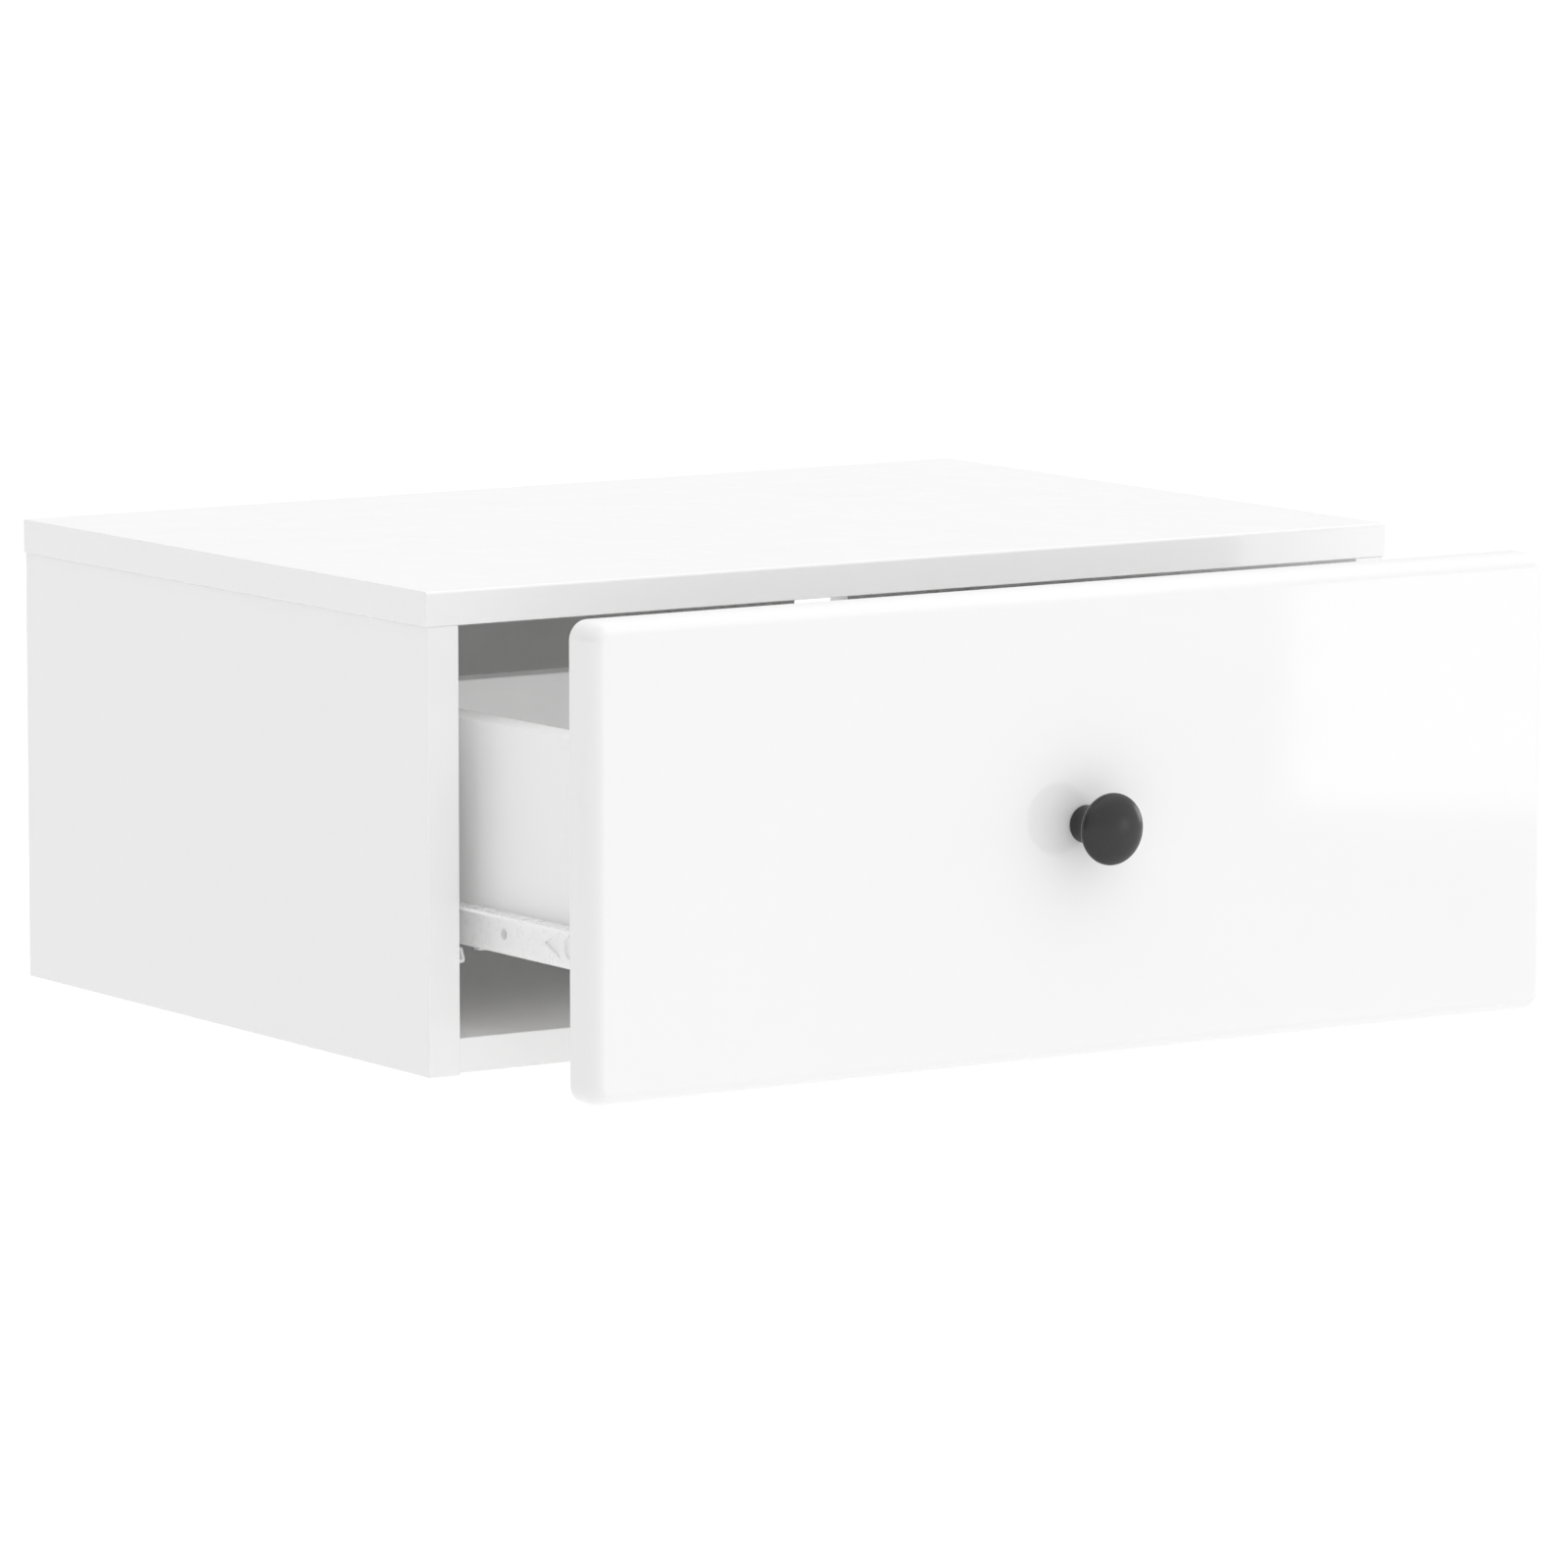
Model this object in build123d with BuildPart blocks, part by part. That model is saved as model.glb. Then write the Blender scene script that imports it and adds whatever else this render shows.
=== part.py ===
from build123d import *
import os

# Wall-hung bedside cabinet with one drawer, modelled with the drawer part open.
# Millimetres, +X to the right seen from the front, +Y towards the wall, +Z up.
# Origin: on the wall plane, midway between the two keyhole entries of the hanging rail.

# ---------------------------------------------------------------- carcass
WIDTH = 500.0                 # over the top panel
HEIGHT = 206.5                # top face to the bottom edges of the sides
DEPTH = 346.5                 # wall plane to the front edge of the top panel
BOARD = 15.0                  # carcass and drawer board thickness
TOP_Z = 62.0                  # top face above the keyhole entries
TOP_OVERHANG = 1.0            # the top panel oversails each side panel
SIDE_SETBACK = 0.3            # side panel front edge behind the top panel's
BOTTOM_SETBACK = 1.0          # bottom panel front edge behind the top panel's
BOTTOM_RAISE = 0.8            # bottom panel underside above the side panels' bottom edges
RAIL_HEIGHT = 80.0            # hanging rail under the top panel
SHEET = 3.0                   # back panel and drawer bottom
SHEET_GROOVE = 5.5            # groove depth for the thin sheets
BACK_SHEET_Y = -9.0           # middle of the back panel, in front of the wall plane
EDGE = 0.5                    # softened board edges
TOP_EDGE = 1.5                # rounded upper edge of the top panel

# keyholes for the two wall screws
KEYHOLE_SPACING = 336.0
KEYHOLE_ENTRY_R = 15.0
KEYHOLE_SLOT_R = 5.0
KEYHOLE_LIFT = 24.0           # from the entry's centre up to the seat's centre

# ---------------------------------------------------------------- drawer
CLOSED_GAP = 1.5              # between the closed front and the carcass
OPENING = 105.0               # how far the drawer stands open in this pose
FRONT_WIDTH = 493.0
FRONT_HEIGHT = 201.5
FRONT_THICK = 18.0
FRONT_TOP_MARGIN = 1.7        # below the top panel's top face
FRONT_CORNER_R = 8.5
FRONT_ROUND_IN = 6.3          # oval rounding of the front edges: inwards on the face
FRONT_ROUND_DEEP = 11.0       # and back along the thickness
RUNNER_GAP = 12.5             # each side, between side panel and drawer box
BOX_LENGTH = 250.0
BOX_TOP_Z = 5.3
BOX_BOTTOM_Z = -90.7
DRAWER_SHEET_Z = -82.5        # underside of the drawer bottom

# ---------------------------------------------------------------- runners
STEEL = 1.2
RUNNER_LENGTH = 250.0
CABINET_RUNNER_SETBACK = 4.0  # behind the carcass front
ROLLER_R = 8.5
ROLLER_WIDTH = 6.6
ROLLER_BORE_R = 2.05
PIN_R = 2.0
ROLL_GAP = 0.2                # roller tread to the track it rolls on

# ---------------------------------------------------------------- fixings
CAM_R = 7.45
CAM_DEPTH = 12.3
CAM_BACK = 24.0               # cam centre behind the joint
CAM_CAP_R = 8.5
CAM_CAP = 0.8
BOLT_R = 2.5
DOWEL_R = 4.0
DOWEL_FACE = 11.5             # dowel depth in the face of a board
DOWEL_EDGE = 18.5             # dowel depth in the edge of a board
FIT = 0.02                    # radial play of a seated fixing

# ---------------------------------------------------------------- knob
KNOB_HEAD_R = 15.45
KNOB_FOOT_R = 8.1
KNOB_WIDEST = 20.0            # widest plane in front of the drawer front
KNOB_LENGTH = 25.5

# ---------------------------------------------------------------- derived places
FRONT_Y = -DEPTH                                  # carcass front plane
PANEL_UNDER_Z = TOP_Z - BOARD                     # underside of the top panel
BASE_Z = TOP_Z - HEIGHT                           # bottom edges of the sides
SIDE_OUT = WIDTH / 2 - TOP_OVERHANG               # outer face of a side panel, |X|
SIDE_IN = SIDE_OUT - BOARD                        # inner face of a side panel, |X|
FLOOR_Z = BASE_Z + BOTTOM_RAISE                   # underside of the bottom panel
FLOOR_TOP_Z = FLOOR_Z + BOARD
RAIL_BOTTOM_Z = PANEL_UNDER_Z - RAIL_HEIGHT
BOX_OUT = SIDE_IN - RUNNER_GAP                    # outer face of a drawer side, |X|
BOX_IN = BOX_OUT - BOARD
BACK_OF_FRONT_Y = FRONT_Y - CLOSED_GAP - OPENING  # rear face of the drawer front
FACE_Y = BACK_OF_FRONT_Y - FRONT_THICK            # outer face of the drawer front
BOX_REAR_Y = BACK_OF_FRONT_Y + BOX_LENGTH
FRONT_TOP_Z = TOP_Z - FRONT_TOP_MARGIN
FRONT_MID_Z = FRONT_TOP_Z - FRONT_HEIGHT / 2
MID_BOARD = BOARD / 2

# joinery stations
JOINT_YS = (FRONT_Y + 50.0, -60.0)                # cam joints along a side panel
DOWEL_YS = (FRONT_Y + 82.0, -100.0)
RAIL_CAM_Z = 10.0
RAIL_DOWEL_ZS = (35.0, -20.0)
DRAWER_CAM_ZS = (-12.0, -66.0)
DRAWER_DOWEL_ZS = (-30.0, -48.0)
FLOOR_MID_Z = FLOOR_Z + MID_BOARD
DRAWER_BACK_SCREW_ZS = (-18.0, -62.0)
DRAWER_BACK_MID_Y = BOX_REAR_Y - MID_BOARD
DRAWER_BOTTOM_SCREW_XS = (-140.0, 0.0, 140.0)

# runner section heights
DRAWER_WEB_TOP_Z = -73.2
DRAWER_WEB_BOTTOM_Z = BOX_BOTTOM_Z - STEEL
DRAWER_WEB_X = BOX_OUT + STEEL                    # outer face of the drawer runner's web
DRAWER_FLANGE_X = DRAWER_WEB_X + 8.5              # outer edge of its top flange
DRAWER_SHELF_X = BOX_OUT - 11.5                   # inner edge of its bottom flange
CHANNEL_BOTTOM_Z = -98.6
CHANNEL_FLOOR_Z = CHANNEL_BOTTOM_Z + STEEL
CABINET_WEB_X = SIDE_IN - STEEL                   # inner face of the cabinet runner's web
CHANNEL_LIP_X = SIDE_IN - 10.5                    # outer face of the channel's lip
CHANNEL_LIP_Z = -92.6
REAR_ROLLER_Z = CHANNEL_FLOOR_Z + ROLL_GAP + ROLLER_R
CHANNEL_ROOF_Z = REAR_ROLLER_Z + ROLLER_R + 0.4
FRONT_ROLLER_Z = DRAWER_WEB_TOP_Z - STEEL - ROLL_GAP - ROLLER_R
FRONT_ROLLER_Y = FRONT_Y + 26.5
REAR_ROLLER_Y = BOX_REAR_Y - 10.0
ROLLER_OUT = CABINET_WEB_X - 1.2                  # roller face nearest the side panel, |X|
ROLLER_IN = ROLLER_OUT - ROLLER_WIDTH
CABINET_RUNNER_Y = FRONT_Y + CABINET_RUNNER_SETBACK
CHANNEL_START_Y = FRONT_Y + 12.8                  # where the channel's floor and lip begin
ROOF_START_Y = FRONT_Y + 42.0                     # the roof starts behind the front roller
CABINET_SCREW_YS = (CABINET_RUNNER_Y + 5.5, CABINET_RUNNER_Y + 101.5, CABINET_RUNNER_Y + 197.5)
CABINET_SCREW_Z = -88.0
DRAWER_SCREW_YS = (BACK_OF_FRONT_Y + 14.0, BACK_OF_FRONT_Y + 120.0, BACK_OF_FRONT_Y + 234.0)
DRAWER_SCREW_X = BOX_OUT - 6.0
WEB_MID_Z = -82.5
RING_Y = FRONT_Y - 69.6                           # centre of the round window in the drawer runner
RING_R = 5.4
RING_OUTER_R = 9.9
SPARE_HOLE_YS = (FRONT_Y - 16.6, FRONT_Y + 47.4, FRONT_Y + 111.4)
SPARE_HOLE_Z = WEB_MID_Z - 0.5
SPARE_HOLE_R = 2.5
SPARE_HOLE_DEPTH = 7.5                            # into the drawer side, short of its groove

UP = (0, 0, 1)
DOWN = (0, 0, -1)
LEFTWARD = (-1, 0, 0)
RIGHTWARD = (1, 0, 0)
FRONTWARD = (0, -1, 0)
BACKWARD = (0, 1, 0)


def facing(x, y, z, normal, across=None):
    """A plane at a point of a board's face, its Z axis out of the face."""
    if across is None:
        return Plane(origin=(x, y, z), z_dir=normal)
    return Plane(origin=(x, y, z), x_dir=across, z_dir=normal)


# Places of the cam joints on the left half; the right half is their mirror image.
# Each joint is (plane of the bolt, plane of the cam): the bolt's plane lies on the joint
# with its Z axis towards the cam, the cam's plane lies on the board's face with its Z axis
# out of the face and its X axis towards the joint.
TOP_JOINTS = [
    (facing(-SIDE_IN - MID_BOARD, y, PANEL_UNDER_Z, DOWN),
     facing(-SIDE_IN, y, PANEL_UNDER_Z - CAM_BACK, RIGHTWARD, UP))
    for y in JOINT_YS
]
FLOOR_JOINTS = [
    (facing(-SIDE_IN, y, FLOOR_MID_Z, RIGHTWARD),
     facing(-SIDE_IN + CAM_BACK, y, FLOOR_Z, DOWN, LEFTWARD))
    for y in JOINT_YS
]
RAIL_JOINTS = [
    (facing(-SIDE_IN, -MID_BOARD, RAIL_CAM_Z, RIGHTWARD),
     facing(-SIDE_IN + CAM_BACK, -BOARD, RAIL_CAM_Z, FRONTWARD, LEFTWARD))
]
DRAWER_JOINTS = [
    (facing(-BOX_IN - MID_BOARD, BACK_OF_FRONT_Y, z, BACKWARD),
     facing(-BOX_IN, BACK_OF_FRONT_Y + CAM_BACK, z, RIGHTWARD, FRONTWARD))
    for z in DRAWER_CAM_ZS
]
CABINET_JOINTS = TOP_JOINTS + FLOOR_JOINTS + RAIL_JOINTS

# Dowels on the left half, each as a plane on the joint with Z into the board's edge.
TOP_DOWELS = [facing(-SIDE_IN - MID_BOARD, y, PANEL_UNDER_Z, DOWN) for y in DOWEL_YS]
FLOOR_DOWELS = [facing(-SIDE_IN, y, FLOOR_MID_Z, RIGHTWARD) for y in DOWEL_YS]
RAIL_DOWELS = [facing(-SIDE_IN, -MID_BOARD, z, RIGHTWARD) for z in RAIL_DOWEL_ZS]
DRAWER_DOWELS = [facing(-BOX_IN - MID_BOARD, BACK_OF_FRONT_Y, z, BACKWARD) for z in DRAWER_DOWEL_ZS]


def turned(plane):
    """The same plane, facing the other way."""
    return Plane(origin=plane.origin, x_dir=plane.x_dir, z_dir=-plane.z_dir)


def mirrored(plane):
    """The plane's mirror image in the cabinet's middle plane, with the same handed Z."""
    o, z = plane.origin, plane.z_dir
    return Plane(origin=(-o.X, o.Y, o.Z), z_dir=(-z.X, z.Y, z.Z))


# ================================================================ carcass boards
with BuildPart() as top_panel:
    with BuildSketch(Plane.XY.offset(PANEL_UNDER_Z)):
        with Locations((0, FRONT_Y / 2)):
            Rectangle(WIDTH, DEPTH)
    extrude(amount=BOARD)
    fillet(top_panel.faces().sort_by(Axis.Z)[-1].edges().filter_by(Axis.X).sort_by(Axis.Y)[0], TOP_EDGE)
    fillet(top_panel.edges().filter_by(Axis.Y).group_by(Axis.Z)[-1], EDGE)
    fillet(top_panel.edges().filter_by(Axis.X).group_by(Axis.Z)[0].sort_by(Axis.Y)[0], EDGE)
    # seats of the cam bolts and dowels, in the underside over both side panels
    with Locations(*[turned(b) for b, c in TOP_JOINTS], *[turned(mirrored(b)) for b, c in TOP_JOINTS]):
        with Locations((0, 0, 0)):
            Cylinder(BOLT_R + FIT, 2 * (10.5 + 0.5), mode=Mode.SUBTRACT)
    with Locations(*TOP_DOWELS, *[mirrored(p) for p in TOP_DOWELS]):
        Cylinder(DOWEL_R + FIT, 2 * (DOWEL_FACE + 0.2), mode=Mode.SUBTRACT)

with BuildPart() as left_side_panel:
    with BuildSketch(Plane.YZ.offset(-SIDE_OUT)):
        with Locations(((FRONT_Y + SIDE_SETBACK) / 2, (BASE_Z + PANEL_UNDER_Z) / 2)):
            Rectangle(DEPTH - SIDE_SETBACK, PANEL_UNDER_Z - BASE_Z)
    extrude(amount=BOARD)
    fillet(left_side_panel.edges().filter_by(Axis.Z).group_by(Axis.Y)[0], EDGE)
    fillet(left_side_panel.edges().filter_by(Axis.Y).group_by(Axis.Z)[0], EDGE)
    # shaft holes of the cam bolts and dowel holes in the upper edge
    with Locations(*[b for b, c in TOP_JOINTS]):
        Cylinder(4.0, 2 * 18.0, mode=Mode.SUBTRACT)
    with Locations(*TOP_DOWELS):
        Cylinder(DOWEL_R + FIT, 2 * (DOWEL_EDGE + 0.2), mode=Mode.SUBTRACT)
    # cam pockets in the inner face
    with Locations(*[c for b, c in TOP_JOINTS]):
        Cylinder(CAM_R + 0.05, 2 * (CAM_DEPTH + 0.1), mode=Mode.SUBTRACT)
    # seats in the inner face for the bottom panel's and the hanging rail's bolts and dowels
    with Locations(*[b for b, c in FLOOR_JOINTS + RAIL_JOINTS]):
        Cylinder(BOLT_R + FIT, 2 * (10.5 + 0.5), mode=Mode.SUBTRACT)
    with Locations(*FLOOR_DOWELS, *RAIL_DOWELS):
        Cylinder(DOWEL_R + FIT, 2 * (DOWEL_FACE + 0.2), mode=Mode.SUBTRACT)
    # groove for the back panel, from the hanging rail down to the bottom panel
    with BuildSketch(Plane.YZ.offset(-SIDE_IN)):
        with Locations((BACK_SHEET_Y, (FLOOR_TOP_Z - SHEET_GROOVE + RAIL_BOTTOM_Z + 7.0) / 2)):
            Rectangle(SHEET + 0.2, RAIL_BOTTOM_Z + 7.0 - FLOOR_TOP_Z + SHEET_GROOVE)
    extrude(amount=-SHEET_GROOVE, mode=Mode.SUBTRACT)
    # countersunk pilot holes of the runner screws
    with Locations(*[facing(-CABINET_WEB_X, y, CABINET_SCREW_Z, RIGHTWARD) for y in CABINET_SCREW_YS]):
        CounterSinkHole(1.75 + FIT, 3.3 + FIT, depth=13.7, counter_sink_angle=81.5)

with BuildPart() as right_side_panel:
    mirror(left_side_panel.part, about=Plane.YZ)

with BuildPart() as bottom_panel:
    with BuildSketch(Plane.XY.offset(FLOOR_Z)):
        with Locations((0, (FRONT_Y + BOTTOM_SETBACK) / 2)):
            Rectangle(2 * SIDE_IN, DEPTH - BOTTOM_SETBACK)
    extrude(amount=BOARD)
    fillet(bottom_panel.edges().filter_by(Axis.X).group_by(Axis.Y)[0], EDGE)
    with Locations(*[b for b, c in FLOOR_JOINTS], *[mirrored(b) for b, c in FLOOR_JOINTS]):
        Cylinder(4.0, 2 * 18.0, mode=Mode.SUBTRACT)
    with Locations(*FLOOR_DOWELS, *[mirrored(p) for p in FLOOR_DOWELS]):
        Cylinder(DOWEL_R + FIT, 2 * (DOWEL_EDGE + 0.2), mode=Mode.SUBTRACT)
    with Locations(*[c for b, c in FLOOR_JOINTS], *[mirrored(c) for b, c in FLOOR_JOINTS]):
        Cylinder(CAM_R + 0.05, 2 * (CAM_DEPTH + 0.1), mode=Mode.SUBTRACT)
    with BuildSketch(Plane.XY.offset(FLOOR_TOP_Z)):
        with Locations((0, BACK_SHEET_Y)):
            Rectangle(2 * SIDE_IN, SHEET + 0.2)
    extrude(amount=-SHEET_GROOVE, mode=Mode.SUBTRACT)

with BuildPart() as hanging_rail:
    with BuildSketch(Plane.XZ):
        with Locations((0, (RAIL_BOTTOM_Z + PANEL_UNDER_Z) / 2)):
            Rectangle(2 * SIDE_IN, RAIL_HEIGHT)
        # keyholes: a round entry with a slot up to the seat
        with Locations((-KEYHOLE_SPACING / 2, 0), (KEYHOLE_SPACING / 2, 0)):
            Circle(KEYHOLE_ENTRY_R, mode=Mode.SUBTRACT)
        with Locations((-KEYHOLE_SPACING / 2, KEYHOLE_LIFT / 2), (KEYHOLE_SPACING / 2, KEYHOLE_LIFT / 2)):
            SlotCenterToCenter(KEYHOLE_LIFT, 2 * KEYHOLE_SLOT_R, rotation=90, mode=Mode.SUBTRACT)
    extrude(amount=BOARD)
    with Locations(*[b for b, c in RAIL_JOINTS], *[mirrored(b) for b, c in RAIL_JOINTS]):
        Cylinder(4.0, 2 * 18.0, mode=Mode.SUBTRACT)
    with Locations(*RAIL_DOWELS, *[mirrored(p) for p in RAIL_DOWELS]):
        Cylinder(DOWEL_R + FIT, 2 * (DOWEL_EDGE + 0.2), mode=Mode.SUBTRACT)
    with Locations(*[c for b, c in RAIL_JOINTS], *[mirrored(c) for b, c in RAIL_JOINTS]):
        Cylinder(CAM_R + 0.05, 2 * (CAM_DEPTH + 0.1), mode=Mode.SUBTRACT)
    with BuildSketch(Plane.XY.offset(RAIL_BOTTOM_Z)):
        with Locations((0, BACK_SHEET_Y)):
            Rectangle(2 * SIDE_IN, SHEET + 0.2)
    extrude(amount=7.0, mode=Mode.SUBTRACT)

with BuildPart() as back_panel:
    with BuildSketch(Plane.XY.offset(FLOOR_TOP_Z - SHEET_GROOVE + 0.3)):
        with Locations((0, BACK_SHEET_Y)):
            Rectangle(2 * (SIDE_IN + SHEET_GROOVE - 0.5), SHEET)
    extrude(amount=RAIL_BOTTOM_Z + 6.5 - (FLOOR_TOP_Z - SHEET_GROOVE + 0.3))

# ================================================================ carcass fixings
with BuildPart() as cabinet_dowels:
    with Locations(*TOP_DOWELS, *FLOOR_DOWELS, *RAIL_DOWELS):
        with Locations((0, 0, (DOWEL_EDGE - DOWEL_FACE) / 2)):
            Cylinder(DOWEL_R, DOWEL_FACE + DOWEL_EDGE)
    chamfer(cabinet_dowels.edges().filter_by(GeomType.CIRCLE), 0.8)
    mirror(about=Plane.YZ)

with BuildPart() as cabinet_cam_bolts:
    with Locations(*[b for b, c in CABINET_JOINTS]):
        with Locations((0, 0, -10.5)):
            Cylinder(BOLT_R, 31.0, align=(Align.CENTER, Align.CENTER, Align.MIN))
        with Locations((0, 0, 0.05)):
            Cylinder(3.4, 2.0, align=(Align.CENTER, Align.CENTER, Align.MIN))
        with Locations((0, 0, 20.5)):
            Cylinder(3.4, 3.0, align=(Align.CENTER, Align.CENTER, Align.MIN))
    mirror(about=Plane.YZ)

with BuildPart() as cabinet_cam_locks:
    with Locations(*[c for b, c in CABINET_JOINTS]):
        Cylinder(CAM_R, CAM_DEPTH, align=(Align.CENTER, Align.CENTER, Align.MAX))
        with Locations((3.5, 0, -MID_BOARD)):
            Box(15.0, 7.6, 7.6, mode=Mode.SUBTRACT)
        with Locations((0, 0, 0)):
            Box(9.0, 1.4, 3.0, mode=Mode.SUBTRACT)
            Box(1.4, 9.0, 3.0, mode=Mode.SUBTRACT)
    mirror(about=Plane.YZ)

with BuildPart() as cabinet_cam_caps:
    with Locations(*[c for b, c in CABINET_JOINTS]):
        Cylinder(CAM_CAP_R, CAM_CAP, align=(Align.CENTER, Align.CENTER, Align.MIN))
    mirror(about=Plane.YZ)

# ================================================================ cabinet runners
# C-shaped channel: web on the side panel, floor and lip for the drawer's rear roller, and a
# roof that keeps that roller down. Floor and lip start behind a sloped nose; the roof is cut
# away over the front roller.
with BuildPart() as left_cabinet_runner:
    with BuildSketch(Plane.YZ.offset(-SIDE_IN)):
        with BuildLine():
            Polyline(
                (CABINET_RUNNER_Y, CHANNEL_LIP_Z),
                (CABINET_RUNNER_Y, DRAWER_WEB_TOP_Z),
                (ROOF_START_Y - 6.0, DRAWER_WEB_TOP_Z),
                (ROOF_START_Y, CHANNEL_ROOF_Z + STEEL),
                (CABINET_RUNNER_Y + RUNNER_LENGTH, CHANNEL_ROOF_Z + STEEL),
                (CABINET_RUNNER_Y + RUNNER_LENGTH, CHANNEL_BOTTOM_Z),
                (CHANNEL_START_Y, CHANNEL_BOTTOM_Z),
                close=True,
            )
        make_face()
    extrude(amount=STEEL)
    # floor
    with BuildSketch(Plane.XY.offset(CHANNEL_BOTTOM_Z)):
        with Locations(((-SIDE_IN - CHANNEL_LIP_X) / 2, (CHANNEL_START_Y + CABINET_RUNNER_Y + RUNNER_LENGTH) / 2)):
            Rectangle(SIDE_IN - CHANNEL_LIP_X, CABINET_RUNNER_Y + RUNNER_LENGTH - CHANNEL_START_Y)
    extrude(amount=STEEL)
    # lip with its sloped nose
    with BuildSketch(Plane.YZ.offset(-CHANNEL_LIP_X - STEEL)):
        with BuildLine():
            Polyline(
                (CHANNEL_START_Y, CHANNEL_BOTTOM_Z),
                (CHANNEL_START_Y + 2.8, CHANNEL_LIP_Z),
                (CABINET_RUNNER_Y + RUNNER_LENGTH, CHANNEL_LIP_Z),
                (CABINET_RUNNER_Y + RUNNER_LENGTH, CHANNEL_BOTTOM_Z),
                close=True,
            )
        make_face()
    extrude(amount=STEEL)
    # roof
    with BuildSketch(Plane.XY.offset(CHANNEL_ROOF_Z)):
        with Locations((-SIDE_IN + 4.5, (ROOF_START_Y + CABINET_RUNNER_Y + RUNNER_LENGTH) / 2)):
            Rectangle(9.0, CABINET_RUNNER_Y + RUNNER_LENGTH - ROOF_START_Y)
    extrude(amount=STEEL)
    # screw holes and the rivet hole of the front roller
    with Locations(*[facing(-CABINET_WEB_X, y, CABINET_SCREW_Z, RIGHTWARD) for y in CABINET_SCREW_YS]):
        CounterSinkHole(1.75 + FIT, 3.3 + FIT, depth=4.0, counter_sink_angle=81.5)
    with Locations(facing(-CABINET_WEB_X, FRONT_ROLLER_Y, FRONT_ROLLER_Z, RIGHTWARD)):
        Hole(PIN_R + FIT, depth=4.0)

with BuildPart() as right_cabinet_runner:
    mirror(left_cabinet_runner.part, about=Plane.YZ)

with BuildPart() as cabinet_runner_screws:
    with Locations(*[facing(-CABINET_WEB_X, y, CABINET_SCREW_Z, RIGHTWARD) for y in CABINET_SCREW_YS]):
        Cone(1.75, 3.3, 1.8, align=(Align.CENTER, Align.CENTER, Align.MAX))
        with Locations((0, 0, -1.7)):
            Cylinder(1.75, 11.8, align=(Align.CENTER, Align.CENTER, Align.MAX))
        with Locations((0, 0, 0)):
            Box(3.2, 0.8, 1.8, mode=Mode.SUBTRACT)
            Box(0.8, 3.2, 1.8, mode=Mode.SUBTRACT)
    mirror(about=Plane.YZ)

# Rivets that carry the front rollers: shoulder against the web, plain journal, flat head.
with BuildPart() as front_roller_pins:
    with Locations(facing(-SIDE_IN, FRONT_ROLLER_Y, FRONT_ROLLER_Z, RIGHTWARD)):
        Cylinder(PIN_R, STEEL + 1.2 + ROLLER_WIDTH + 0.6, align=(Align.CENTER, Align.CENTER, Align.MIN))
        with Locations((0, 0, STEEL)):
            Cylinder(3.2, 1.0, align=(Align.CENTER, Align.CENTER, Align.MIN))
        with Locations((0, 0, STEEL + 1.2 + ROLLER_WIDTH + 0.2)):
            Cylinder(3.4, 0.6, align=(Align.CENTER, Align.CENTER, Align.MIN))
    mirror(about=Plane.YZ)

with BuildPart() as left_front_roller:
    with BuildSketch(Plane(origin=(-ROLLER_OUT, FRONT_ROLLER_Y, FRONT_ROLLER_Z), x_dir=BACKWARD, z_dir=RIGHTWARD)):
        Circle(ROLLER_R)
        Circle(ROLLER_BORE_R, mode=Mode.SUBTRACT)
    extrude(amount=ROLLER_WIDTH)
    fillet(left_front_roller.edges().filter_by(GeomType.CIRCLE).sort_by(SortBy.RADIUS)[-2:], 0.9)
    with BuildSketch(Plane(origin=(-ROLLER_IN, FRONT_ROLLER_Y, FRONT_ROLLER_Z), x_dir=BACKWARD, z_dir=RIGHTWARD)):
        Circle(6.6)
        Circle(4.2, mode=Mode.SUBTRACT)
    extrude(amount=-1.0, mode=Mode.SUBTRACT)

with BuildPart() as right_front_roller:
    mirror(left_front_roller.part, about=Plane.YZ)

# ================================================================ drawer boards
# The front's blank gets a round edge at a reduced thickness and is then stretched to its real
# thickness, which makes the rounding oval.
OVAL = FRONT_ROUND_DEEP / FRONT_ROUND_IN
with BuildPart() as front_blank:
    with BuildSketch(Plane(origin=(0, 0, 0), x_dir=RIGHTWARD, z_dir=FRONTWARD)):
        RectangleRounded(FRONT_WIDTH, FRONT_HEIGHT, FRONT_CORNER_R)
    extrude(amount=FRONT_THICK / OVAL)
    fillet(front_blank.faces().sort_by(Axis.Y)[0].edges(), FRONT_ROUND_IN)
    scale(by=(1, OVAL, 1))

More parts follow.
